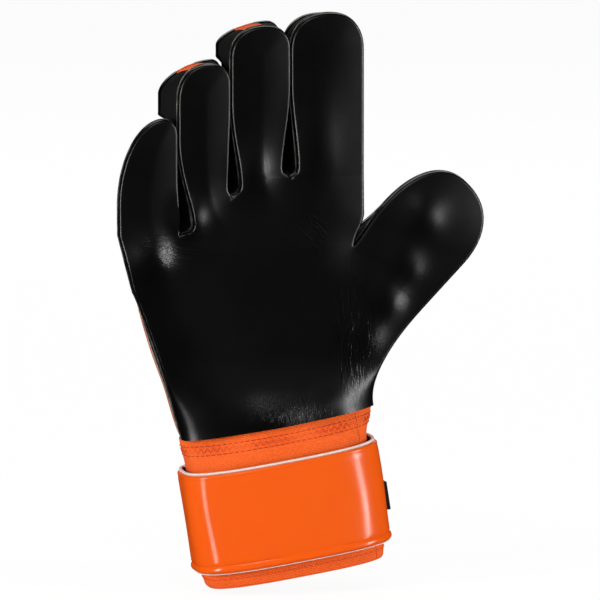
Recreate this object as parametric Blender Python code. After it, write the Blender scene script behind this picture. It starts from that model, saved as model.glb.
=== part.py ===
"""Goalkeeper glove for the right hand, flat cut, with a wrap-round wrist strap.

The glove stands upright: +Z runs along the fingers, the palm faces -Y and the thumb points to +X.
The origin is the middle of the wrist's mouth.  Every sheet of the glove is drawn flat in X and Z,
and its Y comes from one surface for the palm side and one for the back, so the layers nest.
"""
import math
from dataclasses import dataclass
from typing import Callable

import bmesh
import bpy
import numpy as np
from mathutils import Matrix, Vector

# ---- Driving sizes, in metres ---------------------------------------------------------------
# Layers
SEAM_GAP = 0.0003            # clearance between pieces that lie on each other or are sewn together
FOAM = 0.0040                # palm foam
BACK_PANEL = 0.0030          # backhand foam and the mesh behind the fingers
LINING = 0.0010              # inner lining
GUSSET = 0.0020              # side walls between the palm sheet and the back
PAD = 0.0024                 # how far the pads on the backs of the fingers swell above their seams
PAD_ROLL = 0.0045            # over this distance from its seam a pad reaches its full height
OVERHANG = 0.0006            # how far the flat sheets stand out past the gussets

# Wrist cuff: a flattened tube, leaning towards the little finger
CUFF_TILT = math.radians(8.8)
CUFF_LENGTH = 0.0735
CUFF_WALL = 0.0025
CUFF_HALF_WIDTH = 0.0440
CUFF_HALF_DEPTH = 0.0215
MOUTH_DRAW_IN = 0.0012       # how much the hem narrows the mouth
HEM_HEIGHT = 0.0100
CUFF_SQUARENESS = 2.8        # its front and back are flatter than an ellipse's, which has 2
WRIST_HALF_WIDTH = 0.0460    # where the palm starts
WRIST_HALF_DEPTH = 0.0235

# Strap
STRAP_START = 0.0110         # its lower edge above the mouth
STRAP_WIDTH = 0.0480
STRAP_FOAM = 0.0032
STRAP_SKIN = 0.0016
FOAM_PEEK = 0.0013           # how far the white foam shows above the skin
PATCH = 0.0012               # hook and loop patches
PATCH_MARGIN = 0.0060        # from the patches' edges to the strap's edges
TAB_WIDTH = 0.0135
TAB_THICKNESS = 0.0016
TAB_DROP = 0.0055            # the tab sits this far below the middle of the strap
FLAP_END_WIDTH = 0.0300

# Palm and fingers, seen flat.  Heights are measured from the mouth of the cuff.
HAND_LEFT = -0.0885          # outer side of the little finger
LITTLE_WIDTH = 0.0291
RING_WIDTH = 0.0259
MIDDLE_WIDTH = 0.0293
INDEX_WIDTH = 0.0358
NOTCH_HEIGHT = 0.1580        # bottom of the notch between index finger and thumb
LITTLE_RISE = 0.0080         # the little finger's crotch above that notch
RING_RISE = 0.0180           # the ring finger's crotch above the little finger's
MIDDLE_RISE = 0.0080         # the middle finger's crotch above the ring finger's
LITTLE_LENGTH = 0.0552       # from the finger's root to its tip
RING_LENGTH = 0.0631
MIDDLE_LENGTH = 0.0729
INDEX_LENGTH = 0.0783
FINGER_CLEARANCE = 0.0004    # between neighbouring fingers where they are widest
CROTCH_RADIUS = 0.0045
SLOT_LENGTH = 0.0450         # the slots between the fingers of the palm sheet close over this length
RING_LEFT_SLOT = 0.0070      # how far each side stands in at the bottom of its slot
RING_RIGHT_SLOT = 0.0015
MIDDLE_LEFT_SLOT = 0.0046
MIDDLE_RIGHT_SLOT = 0.0042
INDEX_LEFT_SLOT = 0.0032
BACK_SLOT = 0.0005           # the backs of the fingers nearly touch all the way down
TIP_POWER = 2.3              # roundness of the tips: 2 is an ellipse
PALM_BULGE = 0.0022          # of the side below the little finger
BACK_SET_IN = 0.0050         # the back is narrower than the palm on the little finger's side
WRIST_SET_IN = 0.0020        # and by this much at the wrist
LITTLE_BACK_DROP = 0.0040    # the back of a fingertip ends this much lower than its palm side
INDEX_BACK_DROP = 0.0022
THUMB_BACK_DROP = 0.0015
THUMB_BACK_SET_IN = 0.0050   # the thumb's back is narrower on the index finger's side

# Thumb
THUMB_LEAN = math.radians(43.8)
THUMB_WIDTH = 0.0462
THUMB_LENGTH = 0.0593
THUMB_BULGE = 0.0025         # of the side towards the index finger
THUMB_BEND_LENGTH = 0.0240   # that side reaches its bulge this far up
NOTCH_DEPTH = 0.0052         # how far the notch cuts in from the index finger's side
NOTCH_MOUTH = 0.0160         # height of the notch

# Depth, measured from the middle plane out to the flat sheets' faces
FINGER_EDGE = 0.0115
PALM_EDGE = 0.0130
WRIST_EDGE = 0.0080
CROWN = 0.0028               # the sheets swell this much in from their edges
CROWN_REACH = 0.0100
PANEL_RISE = 0.0008          # the backhand's panels stand up from the seams between them
PANEL_BEVEL = 0.0005

# Shape of the fingertips: where across its width a tip is highest, and how far down its left and
# right shoulders reach, all as shares of the finger's width or length
LITTLE_TIP = (0.77, 0.76, 0.15)
RING_TIP = (0.60, 0.29, 0.15)
MIDDLE_TIP = (0.58, 0.22, 0.16)
INDEX_TIP = (0.53, 0.23, 0.23)
THUMB_TIP = (0.47, 0.60, 0.52)

# Turns round the cuff, in degrees: 0 is the thumb's side and 90 is the back of the hand
CUFF_LEFT_SEAM = 180
CUFF_FRONT_SEAM = -28
CUFF_BACK_SEAM = 26
STRAP_ANCHOR = 35            # where the strap is sewn to the cuff, behind the thumb's side
FLAP_HINGE = 150             # where the free end of the strap lifts off, behind the other side
FLAP_END = 42
PATCH_START = 46
PATCH_END = 118
HOOK_END = 88
TAB_START = 54
TAB_END = 3

# ---- Counts ---------------------------------------------------------------------------------
FINGER_COLUMNS = 10
STALL_CLIMBS = (0.0, 0.16, 0.34, 0.52, 0.68, 0.82, 0.97, 1.0)
STUB_CLIMBS = (0.0, 0.5, 1.0)
SIDE_ROWS = 6
THUMB_ROWS = 8
NOTCH_ROWS = 2
LINING_COLUMN = 3            # the lining starts at this column of the palm, clear of the gussets
MESH_COLUMNS = (4, 6)        # the strip of mesh lies between these columns, and the pads beside it
PANEL_ROWS = ((1, 6), (6, 11), (11, 15))
PANEL_MARGIN = 2             # columns between the panels and the sheet's sides
WALL_STEPS = 12
CUFF_CLIMBS = (0.0, 0.07, 0.14, 0.80, 0.90, 1.0)
DEGREES_PER_STEP = 9

# ---- Colours and surfaces: base colour, roughness -------------------------------------------
BLACK_LATEX = ("black_latex", (0.010, 0.010, 0.010), 0.38)
BLACK_FABRIC = ("black_fabric", (0.014, 0.014, 0.014), 0.75)
ORANGE_LATEX = ("orange_latex", (0.910, 0.120, 0.008), 0.42)
ORANGE_MESH = ("orange_mesh", (0.800, 0.105, 0.012), 0.80)
WHITE_FOAM = ("white_foam", (0.760, 0.700, 0.640), 0.85)
LOOP_PILE = ("loop_pile", (0.020, 0.020, 0.020), 0.95)


def remove_everything():
    for thing in list(bpy.data.objects):
        bpy.data.objects.remove(thing)


def material_for(node, finish):
    colour_name, colour, roughness = finish
    material = bpy.data.materials.new(f"{node}_{colour_name}")
    material.use_nodes = True
    shader = material.node_tree.nodes["Principled BSDF"]
    shader.inputs["Base Color"].default_value = (*colour, 1.0)
    shader.inputs["Roughness"].default_value = roughness
    shader.inputs["Metallic"].default_value = 0.0
    return material


def add_node(node, bm, finish, hinge=None):
    """Turn a finished bmesh into a named object, carried by a hinge's empty if it moves."""
    bmesh.ops.triangulate(bm, faces=bm.faces)
    bmesh.ops.recalc_face_normals(bm, faces=bm.faces)
    mesh = bpy.data.meshes.new(node)
    bm.to_mesh(mesh)
    bm.free()
    mesh.materials.append(material_for(node, finish))
    mesh.shade_smooth()
    mesh.set_sharp_from_angle(angle=math.radians(40))
    thing = bpy.data.objects.new(node, mesh)
    bpy.context.scene.collection.objects.link(thing)
    if hinge is not None:
        thing.parent = hinge
        thing.matrix_parent_inverse = hinge.matrix_world.inverted()
    return thing


def hinge_empty(name, place, axis):
    """An empty on a joint's axis, its own X along the axis."""
    empty = bpy.data.objects.new(name, None)
    empty.empty_display_size = 0.01
    empty.matrix_world = Matrix.Translation(place) @ axis.to_track_quat("X", "Z").to_matrix().to_4x4()
    bpy.context.scene.collection.objects.link(empty)
    return empty


def smooth(share):
    share = min(max(share, 0.0), 1.0)
    return share * share * (3.0 - 2.0 * share)


def mix(a, b, share):
    return a + (b - a) * share


# ---- The glove's outline, seen flat ---------------------------------------------------------
AXIS_UP = Vector((-math.sin(CUFF_TILT), math.cos(CUFF_TILT)))
AXIS_ACROSS = Vector((math.cos(CUFF_TILT), math.sin(CUFF_TILT)))
WRIST_MIDDLE = AXIS_UP * (CUFF_LENGTH + SEAM_GAP)
WRIST_LEFT = WRIST_MIDDLE - AXIS_ACROSS * WRIST_HALF_WIDTH
WRIST_RIGHT = WRIST_MIDDLE + AXIS_ACROSS * WRIST_HALF_WIDTH

LITTLE_ROOT = NOTCH_HEIGHT + LITTLE_RISE
RING_ROOT = LITTLE_ROOT + RING_RISE
MIDDLE_ROOT = RING_ROOT + MIDDLE_RISE
LITTLE_RING = HAND_LEFT + LITTLE_WIDTH
RING_MIDDLE = LITTLE_RING + RING_WIDTH
MIDDLE_INDEX = RING_MIDDLE + MIDDLE_WIDTH
HAND_RIGHT = MIDDLE_INDEX + INDEX_WIDTH

NOTCH = Vector((HAND_RIGHT - NOTCH_DEPTH, NOTCH_HEIGHT))
THUMB_ALONG = Vector((math.sin(THUMB_LEAN), math.cos(THUMB_LEAN)))
THUMB_ACROSS = Vector((math.cos(THUMB_LEAN), -math.sin(THUMB_LEAN)))
THUMB_HEEL = NOTCH + THUMB_ACROSS * THUMB_WIDTH
HALF_GAP = SEAM_GAP / 2


def side_beside_gap(plane, direction, root, slot):
    """The side of a finger that faces its neighbour across the plane x = plane.

    It leaves the crotch in a quarter ellipse and stands in by slot, which fades with height.
    """
    def side(z):
        rise = min(max((z - root) / CROTCH_RADIUS, 0.0), 1.0)
        rounding = math.sqrt(1.0 - (1.0 - rise) ** 2)
        stand_in = FINGER_CLEARANCE / 2 + slot * (1.0 - smooth((z - root) / SLOT_LENGTH))
        return plane + direction * rounding * stand_in
    return side


def index_outer_side(z):
    """The index finger's outer side, which drops into the notch beside the thumb."""
    return HAND_RIGHT - NOTCH_DEPTH * (1.0 - smooth((z - NOTCH_HEIGHT) / NOTCH_MOUTH))


def plain_side(x):
    return lambda z: x


def thumb_inner_side(set_in):
    """The thumb's side towards the index finger, which bulges out or is set in above the notch."""
    return lambda z: (set_in - THUMB_BULGE) * smooth(z / THUMB_BEND_LENGTH)


@dataclass
class Stall:
    """One finger or the thumb, seen flat."""
    name: str
    left_side: Callable
    right_side: Callable
    left_root: float
    right_root: float
    joint: float          # height of the plane where it hinges
    tip: float
    apex: float           # where across its width the tip is highest, 0 to 1
    left_drop: float      # from the tip down to where the left side is straight
    right_drop: float
    place: Callable = lambda x, z: (x, z)

    def tip_line(self, share):
        side = (self.apex - share) / self.apex if share < self.apex else (share - self.apex) / (1 - self.apex)
        drop = self.left_drop if share < self.apex else self.right_drop
        return self.tip - drop * (1.0 - (1.0 - side ** TIP_POWER) ** (1.0 / TIP_POWER))

    def point(self, share, climb, aside=0.0):
        """The point a share of the way across and up, between the foot and the tip's outline."""
        z = mix(self.joint + HALF_GAP, self.tip_line(share), climb)
        return self.place(mix(self.left_side(z), self.right_side(z), share) + aside, z)

    def outline(self, left_foot, right_foot, side_steps, tip_steps):
        """Points from the left foot, over the tip, to the right foot."""
        points = []
        for k in range(side_steps):
            z = mix(left_foot, self.tip - self.left_drop, (k / side_steps) ** 1.5)
            points.append(self.place(self.left_side(z), z))
        for k in range(tip_steps + 1):
            points.append(self.point(across_share(k, tip_steps), 1.0))
        for k in range(side_steps - 1, -1, -1):
            z = mix(right_foot, self.tip - self.right_drop, (k / side_steps) ** 1.5)
            points.append(self.place(self.right_side(z), z))
        return points


def across_share(step, steps):
    """Shares across a stall, closer together at its sides."""
    return (1.0 - math.cos(math.pi * step / steps)) / 2


def thumb_place(across, along):
    point = NOTCH + THUMB_ACROSS * across + THUMB_ALONG * along
    return point.x, point.y


def stall(name, left_side, right_side, roots, length, tip_shape, drop, place=None):
    """A stall from its two crotches' heights, its length above its joint and its tip's shape."""
    joint = max(roots)
    apex, left_drop, right_drop = tip_shape
    flat = place or (lambda x, z: (x, z))
    return Stall(name, left_side, right_side, *roots, joint, joint + length - drop,
                 apex, left_drop * length, right_drop * length, flat)


def stalls_of(back):
    """The stalls of the palm sheet or, where back is true, of the back, which shows no slots."""
    def beside(plane, direction, root, slot):
        return side_beside_gap(plane, direction, root, BACK_SLOT if back else slot)
    left = HAND_LEFT + BACK_SET_IN * back
    return (
        stall("little", plain_side(left), beside(LITTLE_RING, -1, LITTLE_ROOT, 0.0),
              (LITTLE_ROOT, LITTLE_ROOT), LITTLE_LENGTH, LITTLE_TIP, LITTLE_BACK_DROP * back),
        stall("ring", beside(LITTLE_RING, 1, LITTLE_ROOT, RING_LEFT_SLOT),
              beside(RING_MIDDLE, -1, RING_ROOT, RING_RIGHT_SLOT),
              (LITTLE_ROOT, RING_ROOT), RING_LENGTH, RING_TIP, 0.0),
        stall("middle", beside(RING_MIDDLE, 1, RING_ROOT, MIDDLE_LEFT_SLOT),
              beside(MIDDLE_INDEX, -1, MIDDLE_ROOT, MIDDLE_RIGHT_SLOT),
              (RING_ROOT, MIDDLE_ROOT), MIDDLE_LENGTH, MIDDLE_TIP, 0.0),
        stall("index", beside(MIDDLE_INDEX, 1, MIDDLE_ROOT, INDEX_LEFT_SLOT), index_outer_side,
              (MIDDLE_ROOT, MIDDLE_ROOT), INDEX_LENGTH, INDEX_TIP, INDEX_BACK_DROP * back),
        stall("thumb", thumb_inner_side(THUMB_BACK_SET_IN * back), plain_side(THUMB_WIDTH),
              (0.0, 0.0), THUMB_LENGTH, THUMB_TIP, THUMB_BACK_DROP * back, thumb_place))


def palm_left_side(share, back=False):
    """The side of the hand from the wrist, share 0, up to the little finger's root."""
    height = mix(WRIST_LEFT.y, LITTLE_ROOT - HALF_GAP, share)
    x = mix(WRIST_LEFT.x, HAND_LEFT, share) - PALM_BULGE * math.sin(math.pi * share)
    level_out = smooth(share / 0.3)
    way = AXIS_ACROSS.lerp(Vector((1.0, 0.0)), level_out)
    return Vector((x, height)) + way * mix(WRIST_SET_IN, BACK_SET_IN, level_out) * back


def palm_right_side():
    """Points up the other side: past the heel of the thumb, up its hinge line and into the notch."""
    heel = THUMB_HEEL - THUMB_ALONG * HALF_GAP
    notch = NOTCH - THUMB_ALONG * HALF_GAP
    reach = (heel.x - WRIST_RIGHT.x) / THUMB_ALONG.x
    bend = heel - THUMB_ALONG * reach
    points = []
    for k in range(SIDE_ROWS):
        share = k / SIDE_ROWS
        points.append(WRIST_RIGHT * (1 - share) ** 2 + bend * 2 * share * (1 - share) + heel * share ** 2)
    for k in range(THUMB_ROWS):
        points.append(heel.lerp(notch, k / THUMB_ROWS))
    for k in range(NOTCH_ROWS + 1):
        z = mix(notch.y, LITTLE_ROOT - HALF_GAP, k / NOTCH_ROWS)
        points.append(Vector((index_outer_side(z), z)))
    return points


def edge_points(stalls, back):
    """The sheet's whole edge but for the wrist, for measuring how far in a point lies."""
    little, ring, middle, index, thumb = stalls
    points = [palm_left_side(k / 16, back) for k in range(16)]
    points += little.outline(LITTLE_ROOT, LITTLE_ROOT, 8, 16)
    points += ring.outline(LITTLE_ROOT, RING_ROOT, 10, 16)
    points += middle.outline(RING_ROOT, MIDDLE_ROOT, 10, 16)
    points += index.outline(MIDDLE_ROOT, NOTCH_HEIGHT, 12, 16)
    points += thumb.outline(0.0, 0.0, 10, 20)
    points += reversed(palm_right_side()[:SIDE_ROWS + 1])
    return np.array([(p[0], p[1]) for p in points])


def distance_to_edge(x, z, edge):
    """How far the points lie from the nearest stretch of the edge."""
    start, end = edge[:-1], edge[1:]
    run = end - start
    length = np.maximum((run ** 2).sum(axis=1), 1e-18)
    away_x = x[:, None] - start[None, :, 0]
    away_z = z[:, None] - start[None, :, 1]
    along = np.clip((away_x * run[:, 0] + away_z * run[:, 1]) / length, 0.0, 1.0)
    return np.hypot(away_x - along * run[:, 0], away_z - along * run[:, 1]).min(axis=1)


def surface(x, z, edge):
    """Height of a sheet's outer face above the middle plane."""
    x = np.asarray(x, dtype=float)
    z = np.asarray(z, dtype=float)
    inside = distance_to_edge(x, z, edge)
    wrist = WRIST_MIDDLE.y
    rise = np.clip((z - wrist) / (0.35 * (LITTLE_ROOT - wrist)), 0.0, 1.0)
    rise = rise * rise * (3 - 2 * rise)
    to_finger = np.clip((z - NOTCH_HEIGHT) / (MIDDLE_ROOT - NOTCH_HEIGHT), 0.0, 1.0)
    edge_height = WRIST_EDGE + (PALM_EDGE - WRIST_EDGE) * rise + (FINGER_EDGE - PALM_EDGE) * to_finger
    crown = CROWN * np.sin(np.clip(inside / CROWN_REACH, 0.0, 1.0) * math.pi / 2)
    arch = np.sqrt(1.0 - (1.0 - np.clip(inside / WRIST_HALF_WIDTH, 0.0, 1.0)) ** 2)
    swell = (WRIST_HALF_DEPTH - WRIST_EDGE - CROWN) * arch * (1.0 - rise)
    return edge_height + crown + swell


# ---- Sheets and gussets ---------------------------------------------------------------------
def laid_grid(bm, columns, rows, place):
    """A flat grid of faces in X and Z, each corner put where place(column, row) says."""
    made = bmesh.ops.create_grid(bm, x_segments=columns, y_segments=rows, size=0.5)
    for vert in made["verts"]:
        x, z = place(round((vert.co.x + 0.5) * columns), round((vert.co.y + 0.5) * rows))
        vert.co = Vector((x, 0.0, z))


def sheet_from(bm, heights, thickness, direction, inner_heights=None):
    """Give a flat mesh in X and Z its Y and a wall.

    heights(x, z) is its outer face, and the inner face lies thickness under it or under
    inner_heights.
    """
    bmesh.ops.remove_doubles(bm, verts=bm.verts, dist=1e-7)
    outer = list(bm.verts)
    made = bmesh.ops.extrude_face_region(bm, geom=list(bm.faces))
    inner = [part for part in made["geom"] if isinstance(part, bmesh.types.BMVert)]
    for verts, face, drop in ((outer, heights, 0.0), (inner, inner_heights or heights, thickness)):
        y = face([v.co.x for v in verts], [v.co.z for v in verts]) - drop
        for vert, value in zip(verts, y):
            vert.co.y = direction * value
    return bm


def core_grid(stalls, back):
    """place(column, row) for the palm below the fingers, its columns in line with theirs."""
    right_points = palm_right_side()
    low, high = right_points[0].y, right_points[-1].y
    rows = [(palm_left_side((p.y - low) / (high - low), back), p) for p in right_points]
    top_left, top_right = rows[-1]
    corners = []
    for stall in stalls[:4]:
        start, end = stall.left_side(top_left.y), stall.right_side(top_left.y)
        corners += [mix(start, end, across_share(k, FINGER_COLUMNS)) for k in range(FINGER_COLUMNS)]
    corners.append(top_right.x)
    shares = [(x - top_left.x) / (top_right.x - top_left.x) for x in corners]

    def place(column, row):
        start, end = rows[row]
        return start.lerp(end, shares[column])
    return place, len(corners) - 1, len(rows) - 1


def hand_sheet(stalls, back):
    """The flat palm or backhand with the stubs that carry the longer fingers."""
    little, ring, middle, index, thumb = stalls
    bm = bmesh.new()
    core, columns, rows = core_grid(stalls, back)
    laid_grid(bm, columns, rows, core)

    def stub(stall, low, high):
        def place(column, row):
            z = mix(low, high, STUB_CLIMBS[row])
            share = across_share(column, FINGER_COLUMNS)
            return mix(stall.left_side(z), stall.right_side(z), share), z
        laid_grid(bm, FINGER_COLUMNS, len(STUB_CLIMBS) - 1, place)
    low, ring_top, middle_top = (root - HALF_GAP for root in (LITTLE_ROOT, RING_ROOT, MIDDLE_ROOT))
    stub(ring, low, ring_top)
    for stall in (middle, index):
        stub(stall, low, ring_top)
        stub(stall, ring_top, middle_top)
    return bm


def raise_panels(bm, stalls):
    """Raise the backhand's panels: two across it and one behind each finger's root."""
    core, columns, rows = core_grid(stalls, True)
    blocks = [(PANEL_MARGIN, columns - PANEL_MARGIN, *span) for span in PANEL_ROWS[:-1]]
    for finger in range(4):
        first = finger * FINGER_COLUMNS + (PANEL_MARGIN if finger == 0 else 1)
        last = (finger + 1) * FINGER_COLUMNS - (PANEL_MARGIN if finger == 3 else 1)
        blocks.append((first, last, *PANEL_ROWS[-1]))
    bmesh.ops.recalc_face_normals(bm, faces=bm.faces)
    outer = [face for face in bm.faces if face.normal.y > 0.5]
    centres = np.array([face.calc_center_median() for face in outer])[:, (0, 2)]
    for first, last, low, high in blocks:
        lines = range(low, high + 1)
        corners = np.array([[core(column, row) for column in range(first, last + 1)] for row in lines])
        cells = (corners[1:, 1:] + corners[:-1, 1:] + corners[1:, :-1] + corners[:-1, :-1]).reshape(-1, 2) / 4
        away = np.abs(centres[:, None] - cells[None]).sum(axis=2).min(axis=1)
        panel = [face for face, gap in zip(outer, away) if gap < SEAM_GAP]
        bmesh.ops.inset_region(bm, faces=panel, thickness=PANEL_BEVEL, depth=PANEL_RISE, use_even_offset=True)


def stall_patch(stall, columns=(0, FINGER_COLUMNS)):
    """A stall's sheet between two of its columns, with half a seam's gap at each cut side."""
    bm = bmesh.new()

    def place(column, row):
        column += columns[0]
        aside = HALF_GAP * ((column == columns[0] > 0) - (column == columns[1] < FINGER_COLUMNS))
        return stall.point(across_share(column, FINGER_COLUMNS), STALL_CLIMBS[row], aside)
    laid_grid(bm, columns[1] - columns[0], len(STALL_CLIMBS) - 1, place)
    return bm


def pad_outline(stall, columns):
    """The edge of a pad, whose seam it swells up from."""
    first, last = (across_share(column, FINGER_COLUMNS) for column in columns)
    points = [stall.point(first, climb) for climb in STALL_CLIMBS]
    points += [stall.point(mix(first, last, k / WALL_STEPS), 1.0) for k in range(WALL_STEPS + 1)]
    points += [stall.point(last, climb) for climb in reversed(STALL_CLIMBS)]
    return np.array([*points, points[0]])


def inward(points, depth, end_ways):
    """The same run of points moved in by depth, to the right of the way they go.

    Its first and last points move along end_ways, which lie in the planes that cut the wall off.
    Where end_ways holds one way only, every point moves along it.
    """
    if len(end_ways) == 1:
        return [Vector(point) + end_ways[0] * depth for point in points]
    moved = []
    for before, point, after in zip(points, points[1:], points[2:]):
        way = (Vector(after) - Vector(before)).normalized()
        moved.append(Vector(point) + Vector((way.y, -way.x)) * depth)
    first, last = (Vector(point) + way * depth for point, way in zip((points[0], points[-1]), end_ways))
    return [first, *moved, last]


def gusset(front_run, back_run, end_ways):
    """A wall between the palm sheet and the back that follows the same edge of both."""
    bm = bmesh.new()
    wall = []
    sides = ((front_run, FRONT_EDGE, -1, FOAM), (back_run, BACK_EDGE, 1, BACK_PANEL))
    for run, edge, direction, thickness in sides:
        height = surface([p[0] for p in run], [p[1] for p in run], edge) - thickness - SEAM_GAP
        for depth in (OVERHANG, OVERHANG + GUSSET):
            points = inward(run, depth, end_ways)
            wall.append([Vector((p.x, direction * y, p.y)) for p, y in zip(points, height)])
    rings = [[bm.verts.new(wall[side][k]) for side in (0, 1, 3, 2)] for k in range(len(front_run))]
    for before, after in zip(rings, rings[1:]):
        for k in range(4):
            bm.faces.new((before[k], before[(k + 1) % 4], after[(k + 1) % 4], after[k]))
    bm.faces.new(rings[0])
    bm.faces.new(rings[-1])
    return bm


FRONT_STALLS = stalls_of(back=False)
BACK_STALLS = stalls_of(back=True)
FRONT_EDGE = edge_points(FRONT_STALLS, back=False)
BACK_EDGE = edge_points(BACK_STALLS, back=True)


def front(x, z):
    return surface(x, z, FRONT_EDGE)


def back(x, z):
    return surface(x, z, BACK_EDGE)


def build_hand():
    palm = sheet_from(hand_sheet(FRONT_STALLS, False), front, FOAM, -1)
    add_node("palm_foam", palm, BLACK_LATEX)
    backhand = sheet_from(hand_sheet(BACK_STALLS, True), back, BACK_PANEL, 1)
    raise_panels(backhand, BACK_STALLS)
    add_node("backhand_foam", backhand, ORANGE_LATEX)
    for node, stalls, is_back, outside, outer_layer, direction in (
            ("palm_lining", FRONT_STALLS, False, front, FOAM, -1),
            ("backhand_lining", BACK_STALLS, True, back, BACK_PANEL, 1)):
        core, columns, rows = core_grid(stalls, is_back)
        bm = bmesh.new()

        def inside_columns(column, row):
            return core(column + LINING_COLUMN, row)
        laid_grid(bm, columns - 2 * LINING_COLUMN, rows - NOTCH_ROWS, inside_columns)

        def under(x, z):
            return outside(x, z) - outer_layer - SEAM_GAP
        add_node(node, sheet_from(bm, under, LINING, direction), BLACK_FABRIC)

    level_way = Vector((1.0, 0.0))
    shares = [k / WALL_STEPS for k in range(WALL_STEPS + 1)]
    little_side = [[palm_left_side(share, is_back) for share in shares] for is_back in (False, True)]
    add_node("little_side_gusset", gusset(*little_side, (AXIS_ACROSS, level_way)), BLACK_FABRIC)
    heel_run = palm_right_side()[SIDE_ROWS::-1]
    add_node("thumb_heel_gusset", gusset(heel_run, heel_run, (-THUMB_ACROSS, -AXIS_ACROSS)), BLACK_FABRIC)
    web = [(index_outer_side(z), z) for z in (mix(MIDDLE_ROOT - HALF_GAP, NOTCH_HEIGHT, k) for k in shares)]
    add_node("thumb_web", gusset(web, web, (-level_way, -level_way)), BLACK_FABRIC)
    for node, number, top in (("ring_root_gusset", 1, RING_ROOT), ("middle_root_gusset", 2, MIDDLE_ROOT)):
        runs = []
        for root_stall in (FRONT_STALLS[number], BACK_STALLS[number]):
            heights = [mix(root_stall.left_root + SEAM_GAP, top - HALF_GAP, share ** 1.5) for share in shares]
            runs.append([(root_stall.left_side(z), z) for z in heights])
        add_node(node, gusset(*runs, (level_way,)), BLACK_FABRIC)


def build_stall(front_stall, back_stall, hinge):
    """A finger or the thumb: palm foam, the wall round it, and a back of mesh between two pads."""
    name = front_stall.name
    add_node(f"{name}_palm_foam", sheet_from(stall_patch(front_stall), front, FOAM, -1), BLACK_LATEX, hinge)
    mesh = stall_patch(back_stall, MESH_COLUMNS)
    add_node(f"{name}_back_mesh", sheet_from(mesh, back, BACK_PANEL, 1), ORANGE_MESH, hinge)
    foot = front_stall.joint + HALF_GAP
    across = THUMB_ACROSS if name == "thumb" else Vector((1.0, 0.0))
    runs = [side.outline(foot, foot, 5, WALL_STEPS) for side in (front_stall, back_stall)]
    add_node(f"{name}_gusset", gusset(*runs, (across, -across)), BLACK_FABRIC, hinge)
    for side, columns in (("left", (0, MESH_COLUMNS[0])), ("right", (MESH_COLUMNS[1], FINGER_COLUMNS))):
        outline = pad_outline(back_stall, columns)

        def swollen(x, z):
            inside = distance_to_edge(np.asarray(x), np.asarray(z), outline)
            return back(x, z) + PAD * np.sin(np.clip(inside / PAD_ROLL, 0.0, 1.0) * math.pi / 2)
        pad = sheet_from(stall_patch(back_stall, columns), swollen, BACK_PANEL, 1, back)
        add_node(f"{name}_{side}_pad", pad, BLACK_LATEX, hinge)


# ---- Cuff and strap -------------------------------------------------------------------------
def cuff_size(height):
    """Half width and half depth of the cuff's outer face at a height along its axis."""
    if height < HEM_HEIGHT:
        draw = MOUTH_DRAW_IN * (1.0 - height / HEM_HEIGHT) ** 2
        return CUFF_HALF_WIDTH - draw, CUFF_HALF_DEPTH - draw
    flare = smooth((height - STRAP_START - STRAP_WIDTH) / (CUFF_LENGTH - STRAP_START - STRAP_WIDTH))
    return mix(CUFF_HALF_WIDTH, WRIST_HALF_WIDTH, flare), CUFF_HALF_DEPTH


def fuller(cosine, sine):
    """How much further out than on an ellipse the cuff's wall lies in a direction."""
    return (abs(cosine) ** CUFF_SQUARENESS + abs(sine) ** CUFF_SQUARENESS) ** (-1.0 / CUFF_SQUARENESS)


def cuff_point(angle, height, offset):
    """A point on the cuff: 0 degrees is the thumb's side and 90 degrees is the back."""
    half_width, half_depth = cuff_size(height)
    cosine, sine = math.cos(math.radians(angle)), math.sin(math.radians(angle))
    flare = smooth((height - STRAP_START - STRAP_WIDTH) / (CUFF_LENGTH - STRAP_START - STRAP_WIDTH))
    reach = mix(fuller(cosine, sine), 1.0, flare)
    flat = AXIS_ACROSS * (half_width + offset) * cosine * reach + AXIS_UP * height
    return Vector((flat.x, (half_depth + offset) * sine * reach, flat.y))


def gap_degrees(angle, gap):
    """The turn round the cuff that spans a gap at this angle."""
    turn = math.radians(angle)
    return math.degrees(gap / math.hypot(CUFF_HALF_WIDTH * math.sin(turn), CUFF_HALF_DEPTH * math.cos(turn)))


def wrap(start, end, low, high, offset, thickness, heights=(0.0, 1.0)):
    """A band round the cuff from start to end degrees, low(angle) to high(angle) along the axis."""
    columns = max(3, round(abs(end - start) / DEGREES_PER_STEP))
    bm = bmesh.new()
    made = bmesh.ops.create_grid(bm, x_segments=columns, y_segments=len(heights) - 1, size=0.5)
    cell = {vert: (round((vert.co.x + 0.5) * columns), round((vert.co.y + 0.5) * (len(heights) - 1)))
            for vert in made["verts"]}
    extruded = bmesh.ops.extrude_face_region(bm, geom=list(bm.faces))
    inner = [part for part in extruded["geom"] if isinstance(part, bmesh.types.BMVert)]
    for vert in inner:
        cell[vert] = (round((vert.co.x + 0.5) * columns), round((vert.co.y + 0.5) * (len(heights) - 1)))
    for vert, (column, row) in cell.items():
        angle = mix(start, end, column / columns)
        height = mix(low(angle), high(angle), heights[row])
        vert.co = cuff_point(angle, height, offset + (0.0 if vert in inner else thickness))
    return bm


def level(height):
    return lambda angle: height


STRAP_END = STRAP_START + STRAP_WIDTH
STRAP_MIDDLE = STRAP_START + STRAP_WIDTH / 2
SKIN_OFFSET = STRAP_FOAM + 2 * SEAM_GAP


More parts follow.
